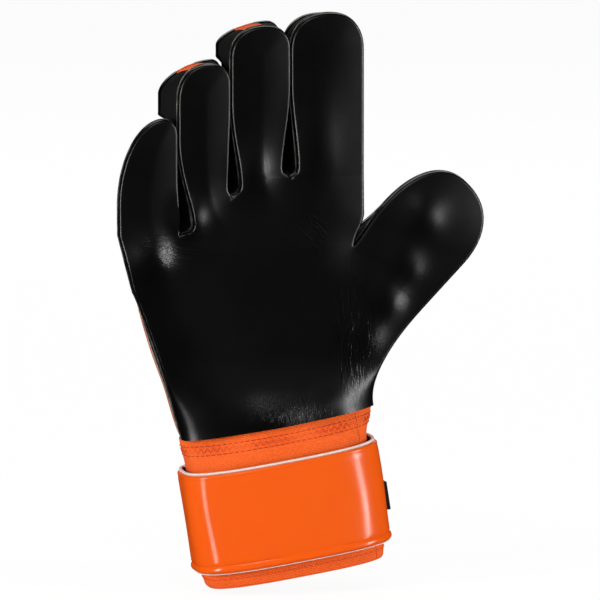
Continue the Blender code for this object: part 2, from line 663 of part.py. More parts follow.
def build_cuff():
    for node, start, end, finish in (("cuff_front", -CUFF_LEFT_SEAM, CUFF_FRONT_SEAM, ORANGE_MESH),
                                     ("cuff_side_insert", CUFF_FRONT_SEAM, CUFF_BACK_SEAM, ORANGE_MESH),
                                     ("cuff_back", CUFF_BACK_SEAM, CUFF_LEFT_SEAM, ORANGE_MESH)):
        start += gap_degrees(start, HALF_GAP)
        end -= gap_degrees(end, HALF_GAP)
        cuff = wrap(start, end, level(0.0), level(CUFF_LENGTH), -CUFF_WALL, CUFF_WALL, CUFF_CLIMBS)
        add_node(node, cuff, finish)
    patch_low, patch_high = level(STRAP_START + PATCH_MARGIN), level(STRAP_END - PATCH_MARGIN)
    add_node("loop_patch", wrap(PATCH_START, PATCH_END, patch_low, patch_high, SEAM_GAP, PATCH), LOOP_PILE)


def build_strap(hinge):
    hinge_gap = gap_degrees(FLAP_HINGE, SEAM_GAP)
    start, end = FLAP_HINGE - 360 + hinge_gap, STRAP_ANCHOR
    add_node("strap_skin", wrap(start, end, level(STRAP_START), level(STRAP_END), SKIN_OFFSET, STRAP_SKIN),
             ORANGE_LATEX)
    foam_low, foam_high = level(STRAP_START + FOAM_PEEK), level(STRAP_END + FOAM_PEEK)
    add_node("strap_foam", wrap(start, end, foam_low, foam_high, SEAM_GAP, STRAP_FOAM), WHITE_FOAM)

    taper = (STRAP_WIDTH - FLAP_END_WIDTH) / 2

    def narrowing(angle):
        return taper * smooth((HOOK_END - angle) / (HOOK_END - FLAP_END))

    def flap_low(angle):
        return STRAP_START + narrowing(angle)

    def flap_high(angle):
        return STRAP_END - narrowing(angle)
    flap = wrap(FLAP_END, FLAP_HINGE - hinge_gap, flap_low, flap_high, SKIN_OFFSET, STRAP_SKIN)
    add_node("flap_skin", flap, ORANGE_LATEX, hinge)
    foam_end = PATCH_END + gap_degrees(PATCH_END, 3 * SEAM_GAP)
    foam = wrap(foam_end, FLAP_HINGE - hinge_gap, level(STRAP_START + PATCH), level(STRAP_END - PATCH),
                SEAM_GAP, STRAP_FOAM)
    add_node("flap_foam", foam, WHITE_FOAM, hinge)
    hook_half_width = FLAP_END_WIDTH / 2 - PATCH
    hook_offset = 2 * SEAM_GAP + PATCH
    hooks = wrap(PATCH_START, PATCH_END, level(STRAP_MIDDLE - hook_half_width),
                 level(STRAP_MIDDLE + hook_half_width), hook_offset, SKIN_OFFSET - SEAM_GAP - hook_offset)
    add_node("hook_patch", hooks, BLACK_FABRIC, hinge)
    tab_middle = STRAP_MIDDLE - TAB_DROP
    tab = wrap(TAB_END, TAB_START, level(tab_middle - TAB_WIDTH / 2), level(tab_middle + TAB_WIDTH / 2),
               SKIN_OFFSET + STRAP_SKIN + SEAM_GAP, TAB_THICKNESS)
    add_node("pull_tab", tab, BLACK_FABRIC, hinge)


def build_glove():
    remove_everything()
    build_hand()
    for front_stall, back_stall in zip(FRONT_STALLS, BACK_STALLS):
        shares = np.linspace(0.0, 1.0, 21)
        row = [front_stall.point(share, 0.0) for share in shares]
        foremost = float(front([p[0] for p in row], [p[1] for p in row]).max())
        if front_stall.name == "thumb":
            place = Vector((NOTCH.x, -foremost, NOTCH.y))
            axis = Vector((THUMB_ACROSS.x, 0.0, THUMB_ACROSS.y))
        else:
            place = Vector((row[0][0], -foremost, front_stall.joint))
            axis = Vector((1.0, 0.0, 0.0))
        build_stall(front_stall, back_stall, hinge_empty(f"{front_stall.name}_hinge", place, axis))
    build_cuff()
    outer = SKIN_OFFSET + STRAP_SKIN
    place = cuff_point(FLAP_HINGE, STRAP_MIDDLE, outer)
    axis = Vector((AXIS_UP.x, 0.0, AXIS_UP.y))
    build_strap(hinge_empty("strap_flap_hinge", place, axis))


build_glove()
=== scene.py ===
import math
from dataclasses import dataclass
from typing import Callable

import bmesh
import bpy
import numpy as np
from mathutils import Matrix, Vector


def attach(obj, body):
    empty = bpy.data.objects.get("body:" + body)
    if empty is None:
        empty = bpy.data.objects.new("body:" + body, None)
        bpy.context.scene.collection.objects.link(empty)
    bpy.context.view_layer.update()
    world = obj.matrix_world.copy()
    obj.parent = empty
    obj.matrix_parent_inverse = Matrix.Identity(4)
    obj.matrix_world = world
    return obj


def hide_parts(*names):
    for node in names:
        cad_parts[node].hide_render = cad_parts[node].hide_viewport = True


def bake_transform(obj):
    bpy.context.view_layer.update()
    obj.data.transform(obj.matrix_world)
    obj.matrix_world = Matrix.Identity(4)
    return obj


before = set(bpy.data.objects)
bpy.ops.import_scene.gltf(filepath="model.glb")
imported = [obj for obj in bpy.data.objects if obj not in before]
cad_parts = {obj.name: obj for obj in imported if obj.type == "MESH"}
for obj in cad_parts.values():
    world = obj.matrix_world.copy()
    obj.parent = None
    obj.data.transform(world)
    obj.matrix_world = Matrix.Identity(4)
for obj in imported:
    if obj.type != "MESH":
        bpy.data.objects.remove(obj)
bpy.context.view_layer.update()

MM = 0.001

# ---- Palm sheet ------------------------------------------
# The palm, the four fingers and the thumb are one sheet of 4 mm latex foam, die cut flat and sewn
# to the gussets.  Here it is cut along the roots of the fingers, into the palm and a part for each
# stall.  The sheet is laid flat in X and Z, and its Y comes from how far in from the edge it lies.
FOAM = 4.0 * MM
SEAM_GAP = 0.3 * MM

CUFF_TILT = math.radians(8.8)
CUFF_LENGTH = 73.5 * MM
WRIST_HALF_WIDTH = 46.0 * MM
WRIST_HALF_DEPTH = 23.5 * MM
HAND_LEFT = -88.5 * MM
LITTLE_RING = HAND_LEFT + 29.1 * MM
RING_MIDDLE = LITTLE_RING + 25.9 * MM
MIDDLE_INDEX = RING_MIDDLE + 29.3 * MM
HAND_RIGHT = MIDDLE_INDEX + 35.8 * MM
LITTLE_ROOT = 166.0 * MM
RING_ROOT = 184.0 * MM
MIDDLE_ROOT = 192.0 * MM
LITTLE_LENGTH = 55.2 * MM
RING_LENGTH = 63.1 * MM
MIDDLE_LENGTH = 72.9 * MM
INDEX_LENGTH = 78.3 * MM
FINGER_CLEARANCE = 0.4 * MM
CROTCH_RADIUS = 4.5 * MM
SLOT_LENGTH = 45.0 * MM
BACK_SLOT = 0.5 * MM
TIP_POWER = 2.3              # of the superellipse that rounds a fingertip
LITTLE_POWER = 1.95
BACK_TIP_POWER = 1.7
RING_LEAN = 5.2 * MM         # how far the backs of these fingertips stand out to the left
MIDDLE_LEAN = 2.8 * MM
LEAN_HEIGHT = 4.0 * MM
RING_LEAN_BELOW = 4.0 * MM   # the lean starts this far below the neighbour's fingertip
MIDDLE_LEAN_BELOW = 2.5 * MM
LITTLE_BACK_LOWER = 4.0 * MM  # the backs of these fingertips end lower than the palm sheet
INDEX_BACK_LOWER = 2.2 * MM
THUMB_BACK_LOWER = 1.5 * MM
PALM_BULGE = 2.2 * MM
BACK_SET_IN = 5.0 * MM
WRIST_SET_IN = 2.0 * MM
SIDE_REVEAL = 2.4 * MM       # the palm sheet has pulled in here, so that the side seam shows
BACK_REVEAL = 1.2 * MM
REVEAL_END = 0.72
WRIST_FULLNESS = 2.8 * MM    # the cloth stands out at the thumb's side, above the strap
THUMB_LEAN = math.radians(43.8)
THUMB_WIDTH = 46.2 * MM
THUMB_LENGTH = 59.3 * MM
THUMB_BULGE = 2.5 * MM
THUMB_BACK_SET_IN = 5.0 * MM
THUMB_BEND_LENGTH = 24.0 * MM
NOTCH_HEIGHT = 158.0 * MM
NOTCH_DEPTH = 5.2 * MM
NOTCH_MOUTH = 16.0 * MM
FINGER_EDGE = 11.5 * MM
PALM_EDGE = 13.0 * MM
WRIST_EDGE = 8.0 * MM
CROWN = 2.8 * MM
CROWN_REACH = 10.0 * MM
SOFT_CROWN = 2.0 * MM        # the worn palm sheet is flatter, and rolls off more slowly
SOFT_REACH = 18.0 * MM
RIM = 0.9 * MM               # the foam's cut edge is a little rounded

STALL_COLUMNS = 26
STALL_ROWS = 46
STUB_ROWS = 14
SIDE_ROWS = 26
NOTCH_ROWS = 10

AXIS_UP = Vector((-math.sin(CUFF_TILT), math.cos(CUFF_TILT)))
AXIS_ACROSS = Vector((math.cos(CUFF_TILT), math.sin(CUFF_TILT)))
WRIST_MIDDLE = AXIS_UP * (CUFF_LENGTH + SEAM_GAP)
WRIST_LEFT = WRIST_MIDDLE - AXIS_ACROSS * WRIST_HALF_WIDTH
WRIST_RIGHT = WRIST_MIDDLE + AXIS_ACROSS * WRIST_HALF_WIDTH
NOTCH = Vector((HAND_RIGHT - NOTCH_DEPTH, NOTCH_HEIGHT))
THUMB_ALONG = Vector((math.sin(THUMB_LEAN), math.cos(THUMB_LEAN)))
THUMB_ACROSS = Vector((math.cos(THUMB_LEAN), -math.sin(THUMB_LEAN)))
THUMB_HEEL = NOTCH + THUMB_ACROSS * THUMB_WIDTH


def smooth(share):
    share = min(max(share, 0.0), 1.0)
    return share * share * (3.0 - 2.0 * share)


def mix(a, b, share):
    return a + (b - a) * share


def across_share(step, steps):
    """Shares across a stall, closer together at its sides."""
    return (1.0 - math.cos(math.pi * step / steps)) / 2


def side_beside_gap(plane, direction, root, slot):
    """The side of a finger that faces its neighbour: rounded at the crotch and standing in by slot."""
    def side(z):
        rise = min(max((z - root) / CROTCH_RADIUS, 0.0), 1.0)
        rounding = math.sqrt(1.0 - (1.0 - rise) ** 2)
        stand_in = FINGER_CLEARANCE / 2 + slot * (1.0 - smooth((z - root) / SLOT_LENGTH))
        return plane + direction * rounding * stand_in
    return side


def index_outer_side(z):
    return HAND_RIGHT - NOTCH_DEPTH * (1.0 - smooth((z - NOTCH_HEIGHT) / NOTCH_MOUTH))


def leaning_side(side, start, lean):
    """A left side that stands out by lean above start, where the neighbour's fingertip ends."""
    return lambda z: side(z) - lean * smooth((z - start) / LEAN_HEIGHT)


@dataclass
class Stall:
    """One finger or the thumb, seen flat: its sides, its two crotches' heights and its tip's shape."""
    name: str
    left_side: Callable
    right_side: Callable
    roots: tuple
    length: float                # above the higher root
    tip_shape: tuple             # where its apex is, and the drop to each side, as shares
    tip_lower: float
    left_power: float = TIP_POWER
    place: Callable = lambda x, z: (x, z)

    def __post_init__(self):
        self.joint = max(self.roots)
        self.tip = self.joint + self.length - self.tip_lower
        self.left_drop, self.right_drop = (share * self.length for share in self.tip_shape[1:])

    def tip_line(self, share):
        apex = self.tip_shape[0]
        if share < apex:
            side, drop, power = (apex - share) / apex, self.left_drop, self.left_power
        else:
            side, drop, power = (share - apex) / (1 - apex), self.right_drop, TIP_POWER
        return self.tip - drop * (1.0 - (1.0 - side ** power) ** (1.0 / power))

    def point(self, share, climb, aside=0.0):
        z = mix(self.joint, self.tip_line(share), climb)
        return self.place(mix(self.left_side(z), self.right_side(z), share) + aside, z)

    def outline(self, left_foot, right_foot, side_steps, tip_steps):
        """Points from the left foot, over the tip, to the right foot."""
        points = []
        for k in range(side_steps):
            z = mix(left_foot, self.tip - self.left_drop, (k / side_steps) ** 1.6)
            points.append(self.place(self.left_side(z), z))
        for k in range(tip_steps + 1):
            points.append(self.point(across_share(k, tip_steps), 1.0))
        for k in range(side_steps - 1, -1, -1):
            z = mix(right_foot, self.tip - self.right_drop, (k / side_steps) ** 1.6)
            points.append(self.place(self.right_side(z), z))
        return points


def thumb_place(across, along):
    point = NOTCH + THUMB_ACROSS * across + THUMB_ALONG * along
    return point.x, point.y


def stalls_of(back):
    """The stalls of the palm sheet or, where back is true, of the back, which shows no slots."""
    def beside(plane, direction, root, slot):
        return side_beside_gap(plane, direction, root, BACK_SLOT if back else slot * MM)

    def thumb_side(z):
        return (THUMB_BACK_SET_IN * back - THUMB_BULGE) * smooth(z / THUMB_BEND_LENGTH)
    left = HAND_LEFT + BACK_SET_IN * back
    ring_left = beside(LITTLE_RING, 1, LITTLE_ROOT, 7.0)
    middle_left = beside(RING_MIDDLE, 1, RING_ROOT, 4.6)
    ring_tip, middle_tip, power = (0.60, 0.29, 0.15), (0.58, 0.22, 0.16), TIP_POWER
    if back:
        ring_left = leaning_side(ring_left, LITTLE_ROOT + LITTLE_LENGTH - RING_LEAN_BELOW, RING_LEAN)
        middle_left = leaning_side(middle_left, RING_ROOT + RING_LENGTH - MIDDLE_LEAN_BELOW, MIDDLE_LEAN)
        ring_tip, middle_tip, power = (0.85, 0.25, 0.15), (0.78, 0.15, 0.16), BACK_TIP_POWER
    return (
        Stall("little", lambda z: left, beside(LITTLE_RING, -1, LITTLE_ROOT, 0.0),
              (LITTLE_ROOT, LITTLE_ROOT), LITTLE_LENGTH, (0.77, 0.76, 0.15),
              LITTLE_BACK_LOWER * back, LITTLE_POWER),
        Stall("ring", ring_left, beside(RING_MIDDLE, -1, RING_ROOT, 1.5),
              (LITTLE_ROOT, RING_ROOT), RING_LENGTH, ring_tip, 0.0, power),
        Stall("middle", middle_left, beside(MIDDLE_INDEX, -1, MIDDLE_ROOT, 4.2),
              (RING_ROOT, MIDDLE_ROOT), MIDDLE_LENGTH, middle_tip, 0.0, power),
        Stall("index", beside(MIDDLE_INDEX, 1, MIDDLE_ROOT, 3.2), index_outer_side,
              (MIDDLE_ROOT, MIDDLE_ROOT), INDEX_LENGTH, (0.53, 0.23, 0.23), INDEX_BACK_LOWER * back),
        Stall("thumb", thumb_side, lambda z: THUMB_WIDTH,
              (0.0, 0.0), THUMB_LENGTH, (0.47, 0.60, 0.52), THUMB_BACK_LOWER * back,
              place=thumb_place))


def palm_left_side(share, back=False):
    """The side of the hand from the wrist, share 0, up to the little finger's root."""
    x = mix(WRIST_LEFT.x, HAND_LEFT, share) - PALM_BULGE * math.sin(math.pi * share)
    reveal = math.sin(math.pi * min(share / REVEAL_END, 1.0)) ** 0.6
    x += -BACK_REVEAL * reveal if back else SIDE_REVEAL * reveal
    level_out = smooth(share / 0.3)
    way = AXIS_ACROSS.lerp(Vector((1.0, 0.0)), level_out)
    point = Vector((x, mix(WRIST_LEFT.y, LITTLE_ROOT, share)))
    return point + way * mix(WRIST_SET_IN, BACK_SET_IN, level_out) * back


def palm_right_side():
    """Points up the other side: past the heel of the thumb, up its hinge line and into the notch."""
    reach = (THUMB_HEEL.x - WRIST_RIGHT.x) / THUMB_ALONG.x
    bend = THUMB_HEEL - THUMB_ALONG * reach
    points = []
    for k in range(SIDE_ROWS):
        share = k / SIDE_ROWS
        left = 1 - share
        fuller = AXIS_ACROSS * WRIST_FULLNESS * left ** 3
        points.append(WRIST_RIGHT * left ** 2 + bend * 2 * share * left + THUMB_HEEL * share ** 2 + fuller)
    for k in range(STALL_COLUMNS):
        points.append(THUMB_HEEL.lerp(NOTCH, across_share(k, STALL_COLUMNS)))
    for k in range(NOTCH_ROWS + 1):
        z = mix(NOTCH_HEIGHT, LITTLE_ROOT, k / NOTCH_ROWS)
        points.append(Vector((index_outer_side(z), z)))
    return points


def edge_points(stalls, back):
    """The sheet's whole edge but for the wrist."""
    little, ring, middle, index, thumb = stalls
    points = [palm_left_side(k / 40, back) for k in range(40)]
    points += little.outline(LITTLE_ROOT, LITTLE_ROOT, 16, 50)
    points += ring.outline(LITTLE_ROOT, RING_ROOT, 24, 50)
    points += middle.outline(RING_ROOT, MIDDLE_ROOT, 24, 50)
    points += index.outline(MIDDLE_ROOT, NOTCH_HEIGHT, 30, 50)
    points += thumb.outline(0.0, 0.0, 16, 60)
    points += reversed(palm_right_side()[:SIDE_ROWS + 1])
    return np.array([(p[0], p[1]) for p in points])


def distance_to_edge(x, z, edge):
    """How far the points lie from the nearest stretch of the edge."""
    start, run = edge[:-1], edge[1:] - edge[:-1]
    length = np.maximum((run ** 2).sum(axis=1), 1e-18)
    away_x = x[:, None] - start[None, :, 0]
    away_z = z[:, None] - start[None, :, 1]
    along = np.clip((away_x * run[:, 0] + away_z * run[:, 1]) / length, 0.0, 1.0)
    return np.hypot(away_x - along * run[:, 0], away_z - along * run[:, 1]).min(axis=1)


def surface(x, z, edge):
    """Height of a sheet's outer face above the middle plane, without its own relief."""
    inside = distance_to_edge(x, z, edge)
    wrist = WRIST_MIDDLE.y
    rise = np.clip((z - wrist) / (0.35 * (LITTLE_ROOT - wrist)), 0.0, 1.0)
    rise = rise * rise * (3 - 2 * rise)
    to_finger = np.clip((z - NOTCH_HEIGHT) / (MIDDLE_ROOT - NOTCH_HEIGHT), 0.0, 1.0)
    edge_height = WRIST_EDGE + (PALM_EDGE - WRIST_EDGE) * rise + (FINGER_EDGE - PALM_EDGE) * to_finger
    crown = CROWN * np.sin(np.clip(inside / CROWN_REACH, 0.0, 1.0) * math.pi / 2)
    arch = np.sqrt(1.0 - (1.0 - np.clip(inside / WRIST_HALF_WIDTH, 0.0, 1.0)) ** 2)
    swell = (WRIST_HALF_DEPTH - WRIST_EDGE - CROWN) * arch * (1.0 - rise)
    return edge_height + crown + swell


def softer_crown(inside):
    """What the worn sheet's flatter crown takes off the one in surface()."""
    return (SOFT_CROWN * np.sin(np.clip(inside / SOFT_REACH, 0.0, 1.0) * math.pi / 2)
            - CROWN * np.sin(np.clip(inside / CROWN_REACH, 0.0, 1.0) * math.pi / 2))


def rounded_rim(inside, radius):
    """How much a face drops within radius of its edge."""
    near = np.clip(1.0 - inside / radius, 0.0, 1.0)
    return radius * (1.0 - np.sqrt(1.0 - near ** 2))


FRONT_STALLS = stalls_of(False)
BACK_STALLS = stalls_of(True)
FRONT_EDGE = edge_points(FRONT_STALLS, False)
BACK_EDGE = edge_points(BACK_STALLS, True)

# Swellings and hollows of the worn-in palm: x, z, spread in x and z, height, in millimetres
PALM_RELIEF = ((-74, 156, 10, 11, 3.9), (-54, 174, 8, 10, 4.4), (-24, 197, 8, 11, 2.1), (7, 208, 10, 24, 2.3),
               (60, 171, 10, 11, 3.3), (51, 150, 9, 10, 2.8), (41, 134, 9, 11, 3.0), (31, 117, 9, 11, 2.2),
               (-22, 130, 26, 22, -1.8), (-14, 79, 14, 8, 2.5), (14, 84, 12, 8, 1.6))


def palm_face(x, z):
    """The palm side's outer face: the crowned sheet with its swellings and hollows, a flatter worn crown and
    a rounded rim.
    """
    height = surface(x, z, FRONT_EDGE)
    for middle_x, middle_z, spread_x, spread_z, rise in PALM_RELIEF:
        away = ((x / MM - middle_x) / spread_x) ** 2 + ((z / MM - middle_z) / spread_z) ** 2
        height += rise * MM * np.exp(-away)
    inside = distance_to_edge(x, z, FRONT_EDGE)
    return height + softer_crown(inside) - rounded_rim(inside, RIM)


def grid_spots(bm, columns, rows):
    """Add a grid of faces, and say on which column and row each of its corners lies."""
    made = bmesh.ops.create_grid(bm, x_segments=columns, y_segments=rows, size=0.5)
    return {vert: (round((vert.co.x + 0.5) * columns), round((vert.co.y + 0.5) * rows))
            for vert in made["verts"]}


def laid_grid(bm, columns, rows, place):
    """A flat grid of faces in X and Z, each corner put where place(column, row) says."""
    for vert, spot in grid_spots(bm, columns, rows).items():
        x, z = place(*spot)
        vert.co = Vector((x, 0.0, z))


def write_flat_map(bm, places):
    """UVs in metres on the flat cloth, from each corner's place on it."""
    flat = bm.loops.layers.uv.new("flat")
    for face in bm.faces:
        for loop in face.loops:
            loop[flat].uv = places[loop.vert]


def sheet_from(bm, heights, thickness, direction, inner_heights=None):
    """Give a flat mesh in X and Z its Y and a wall; heights(x, z) is its outer face. UVs are X and Z."""
    bmesh.ops.remove_doubles(bm, verts=bm.verts, dist=1e-7)
    outer = list(bm.verts)
    made = bmesh.ops.extrude_face_region(bm, geom=list(bm.faces))
    inner = [part for part in made["geom"] if isinstance(part, bmesh.types.BMVert)]
    write_flat_map(bm, {vert: (vert.co.x, vert.co.z) for vert in bm.verts})
    inner_heights = inner_heights or heights
    for verts, face_of, drop in ((outer, heights, 0.0), (inner, inner_heights, thickness)):
        x = np.array([v.co.x for v in verts])
        z = np.array([v.co.z for v in verts])
        for vert, value in zip(verts, face_of(x, z) - drop):
            vert.co.y = direction * value
    return bm


def core_grid(stalls, back):
    """place(column, row) for the palm below the fingers, its columns in line with theirs."""
    right_points = palm_right_side()
    low, high = right_points[0].y, right_points[-1].y
    rows = [(palm_left_side((p.y - low) / (high - low), back), p) for p in right_points]
    top_left, top_right = rows[-1]
    corners = []
    for stall in stalls[:4]:
        start, end = stall.left_side(top_left.y), stall.right_side(top_left.y)
        corners += [mix(start, end, across_share(k, STALL_COLUMNS)) for k in range(STALL_COLUMNS)]
    corners.append(top_right.x)
    shares = [(x - top_left.x) / (top_right.x - top_left.x) for x in corners]

    def place(column, row):
        start, end = rows[row]
        return start.lerp(end, shares[column])
    return place, len(corners) - 1, len(rows) - 1


def hand_sheet(stalls, back):
    """The flat palm or backhand with the stubs that carry the longer fingers."""
    little, ring, middle, index, thumb = stalls
    bm = bmesh.new()
    core, columns, rows = core_grid(stalls, back)
    laid_grid(bm, columns, rows, core)

    def stub(stall, low, high):
        def place(column, row):
            z = mix(low, high, (row / STUB_ROWS) ** 1.5)
            share = across_share(column, STALL_COLUMNS)
            return mix(stall.left_side(z), stall.right_side(z), share), z
        laid_grid(bm, STALL_COLUMNS, STUB_ROWS, place)
    stub(ring, LITTLE_ROOT, RING_ROOT)
    for stall in (middle, index):
        stub(stall, LITTLE_ROOT, RING_ROOT)
        stub(stall, RING_ROOT, MIDDLE_ROOT)
    return bm


def stall_patch(stall, rows, columns=(0.0, 1.0), steps=STALL_COLUMNS, reach=(0.0, 1.0)):
    """A stall's sheet laid flat, or a part of it between shares across and up, with gaps at its cut sides."""
    bm = bmesh.new()
    first, last = columns

    def place(column, row):
        aside = SEAM_GAP / 2 * ((column == 0 < first) - (column == steps and last < 1.0))
        share = mix(first, last, across_share(column, steps))
        return stall.point(share, mix(*reach, 1.0 - (1.0 - row / rows) ** 1.5), aside)
    laid_grid(bm, steps, rows, place)
    return bm


def finish_piece(name, bm, material, body, nodes=(), sharp=35):
    """Make the mesh an object, parent it to its body's empty unless it is a finger's or the thumb's, and hide
    the CAD parts it replaces.
    """
    bmesh.ops.recalc_face_normals(bm, faces=bm.faces)
    mesh = bpy.data.meshes.new(name)
    bm.to_mesh(mesh)
    bm.free()
    mesh.materials.append(material)
    mesh.shade_smooth()
    mesh.set_sharp_from_angle(angle=math.radians(sharp))
    piece = bpy.data.objects.new(name, mesh)
    bpy.context.scene.collection.objects.link(piece)
    if body in ("little", "ring", "middle", "index"):
        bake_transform(piece)
    elif body == "thumb":
        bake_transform(piece)
    else:
        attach(piece, body)
    if nodes:
        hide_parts(*nodes)
    return piece


def feed(tree, made, links):
    """Set a node's inputs; each takes a value, an output or another node's first output."""
    for socket, source in links.items():
        if isinstance(source, bpy.types.Node):
            source = next(output for output in source.outputs if output.enabled)
        if isinstance(source, bpy.types.NodeSocket):
            tree.links.new(source, made.inputs[socket])
        else:
            made.inputs[socket].default_value = source


def node(tree, kind, links, **settings):
    made = tree.nodes.new("ShaderNode" + kind)
    for key, value in settings.items():
        setattr(made, key, value)
    feed(tree, made, links)
    return made


def srgb(code):
    """A hex colour as linear red, green, blue and alpha."""
    parts = [int(code[k:k + 2], 16) / 255 for k in (1, 3, 5)]
    return (*[c / 12.92 if c <= 0.04045 else ((c + 0.055) / 1.055) ** 2.4 for c in parts], 1.0)


def new_material(name):
    material = bpy.data.materials.new(name)
    material.use_nodes = True
    return material, material.node_tree, material.node_tree.nodes["Principled BSDF"]


# Natural latex foam with a smooth skin: nearly black, a soft sheen and fine pores.  It is creased
# where the palm folds: upright beside the thumb, level under the little finger, and scuffed between.
# Each zone has its middle and reach in x, y and z, the creases' turn about Y and their pitch, in mm.
LATEX_GRAIN = 1.1 * MM
LATEX_CLOUD = 26 * MM
CREASE_ZONES = (((25, -15, 116), (13, 30, 40), 0, 1.1), ((-62, -15, 160), (22, 30, 13), 84, 1.1),
                ((6, -15, 167), (12, 30, 12), 50, 1.6), ((-10, -15, 80), (30, 30, 12), 8, 0.5))
CREASE_STRETCH = (1.0, 1.0, 0.12)


def latex_skin(name, colour, colour_worn, roughness, grain_depth, zones=(), crease_depth=0.0):
    material, tree, shader = new_material(name)
    place = node(tree, "TexCoord", {}).outputs["Object"]
    grain = node(tree, "TexNoise", {"Vector": place, "Scale": 1 / LATEX_GRAIN, "Detail": 4.0})
    cloud = node(tree, "TexNoise", {"Vector": place, "Scale": 1 / LATEX_CLOUD, "Detail": 3.0})
    tone = node(tree, "Mix", {"Factor": cloud, "A": srgb(colour), "B": srgb(colour_worn)}, data_type="RGBA")
    dull = node(tree, "MapRange", {"Value": cloud, "To Min": roughness - 0.04, "To Max": roughness + 0.06})
    bump = node(tree, "Bump", {"Height": grain, "Strength": 0.5, "Distance": grain_depth})
    for middle, reach, turn, pitch in zones:
        near = node(tree, "Mapping", {"Vector": place, "Location": [-m / r for m, r in zip(middle, reach)],
                                      "Scale": [1 / (r * MM) for r in reach]})
        zone = node(tree, "TexGradient", {"Vector": near}, gradient_type="SPHERICAL").outputs["Fac"]
        turned = node(tree, "Mapping", {"Vector": place, "Rotation": (0.0, math.radians(turn), 0.0)})
        drawn = node(tree, "Mapping", {"Vector": turned, "Scale": CREASE_STRETCH})
        line = node(tree, "TexNoise", {"Vector": drawn, "Scale": 1 / (pitch * MM), "Detail": 2.0,
                                       "Distortion": 0.4})
        sharp = node(tree, "MapRange", {"Value": line, "From Min": 0.45, "From Max": 0.65})
        crease = node(tree, "Math", {0: sharp, 1: zone}, operation="MULTIPLY")
        bump = node(tree, "Bump", {"Height": crease, "Strength": 0.8, "Distance": crease_depth,
                                   "Normal": bump})
    feed(tree, shader, {"Base Color": tone, "Roughness": dull, "Normal": bump, "IOR": 1.45})
    return material


BLACK_LATEX = latex_skin("black_latex_smooth_skin", "#050404", "#070606", 0.31, 0.05 * MM,
                         CREASE_ZONES, 0.13 * MM)

palm_foam = finish_piece("palm_foam_sheet", sheet_from(hand_sheet(FRONT_STALLS, False), palm_face, FOAM, -1),
                         BLACK_LATEX, "hand", ["palm_foam"])
for stall in FRONT_STALLS:
    cut = stall_patch(stall, STALL_ROWS)
    piece = finish_piece(f"{stall.name}_foam_sheet", sheet_from(cut, palm_face, FOAM, -1), BLACK_LATEX,
                         stall.name, [f"{stall.name}_palm_foam"])


# ---- Edge backing ----------------------------------------
# The foam is laminated to a thin pale knit.  Its cut edge stands a hair past the foam and shows as
# a fine light line along every edge of the palm sheet.
BACKING = 0.5 * MM
BACKING_OUT = 0.35 * MM
BACKING_IN = 1.5 * MM
BACKING_GAP = 0.02 * MM
FIBRE = 0.7 * MM
SOILING = 6 * MM


def inward(points, depth, end_ways):
    """The same run of points moved in by depth, to the right of the way they go or along one way."""
    if len(end_ways) == 1:
        return [Vector(point) + end_ways[0] * depth for point in points]
    moved = []
    for before, point, after in zip(points, points[1:], points[2:]):
        way = (Vector(after) - Vector(before)).normalized()
        moved.append(Vector(point) + Vector((way.y, -way.x)) * depth)
    first, last = (Vector(point) + way * depth for point, way in zip((points[0], points[-1]), end_ways))
    return [first, *moved, last]


def running_lengths(points):
    lengths = [0.0]
    for before, point in zip(points, points[1:]):
        lengths.append(lengths[-1] + (point - before).length)
    return lengths


def swept(corner_rows):
    """A closed tube through rows of points: corner_rows[c][k] is corner c of the profile at step k."""
    count, last = len(corner_rows), len(corner_rows[0]) - 1
    closed = [*corner_rows, corner_rows[0]]
    travel = running_lengths(closed[0])
    around = running_lengths([row[0] for row in closed])
    bm = bmesh.new()
    spots = grid_spots(bm, count, last)
    write_flat_map(bm, {vert: (travel[step], around[corner]) for vert, (corner, step) in spots.items()})
    seam = {step: vert for vert, (corner, step) in spots.items() if corner == 0}
    for vert, (corner, step) in spots.items():
        vert.co = closed[corner][step]
    doubles = {vert: seam[step] for vert, (corner, step) in spots.items() if corner == count}
    bmesh.ops.weld_verts(bm, targetmap=doubles)
    bmesh.ops.edgeloop_fill(bm, edges=[edge for edge in bm.edges if edge.is_boundary])
    return bm


def run_heights(run, edge):
    points = np.array([(p[0], p[1]) for p in run])
    return surface(points[:, 0], points[:, 1], edge)


def backing_strip(run, end_ways):
    """A thin tape that lies under the foam along its edge."""
    top = run_heights(run, FRONT_EDGE) - FOAM - BACKING_GAP
    corners = []
    for depth, drop in ((-BACKING_OUT, 0), (BACKING_IN, 0), (BACKING_IN, BACKING), (-BACKING_OUT, BACKING)):
        corners.append([Vector((p.x, -(y - drop), p.y)) for p, y in zip(inward(run, depth, end_ways), top)])
    return swept(corners)


def knit_edge(name, colour, cleanest):
    """A brushed edge; cleanest is how dark its most soiled spots are."""
    material, tree, shader = new_material(name)
    place = node(tree, "TexCoord", {}).outputs["Object"]
    fibre = node(tree, "TexNoise", {"Vector": place, "Scale": 1 / FIBRE, "Detail": 3.0})
    soiling = node(tree, "TexNoise", {"Vector": place, "Scale": 1 / SOILING, "Detail": 2.0})
    worn = node(tree, "MapRange", {"Value": soiling, "From Min": 0.35, "From Max": 0.65, "To Min": cleanest})
    tone = node(tree, "MapRange", {"Value": fibre, "To Min": 0.6, "To Max": 1.1})
    both = node(tree, "Math", {0: tone, 1: worn}, operation="MULTIPLY")
    shade = node(tree, "Mix", {"Factor": 1.0, "A": srgb(colour), "B": both}, data_type="RGBA",
                 blend_type="MULTIPLY")
    fuzz = node(tree, "Bump", {"Height": fibre, "Strength": 0.6, "Distance": 0.2 * MM})
    feed(tree, shader, {"Base Color": shade, "Normal": fuzz, "Roughness": 0.9})
    return material


PALE_KNIT = knit_edge("pale_knit_backing", "#8A867D", 0.08)
RIGHT_WAY = Vector((1.0, 0.0))
EDGE_STEPS = 40
ROOT_GAP = 0.01 * MM

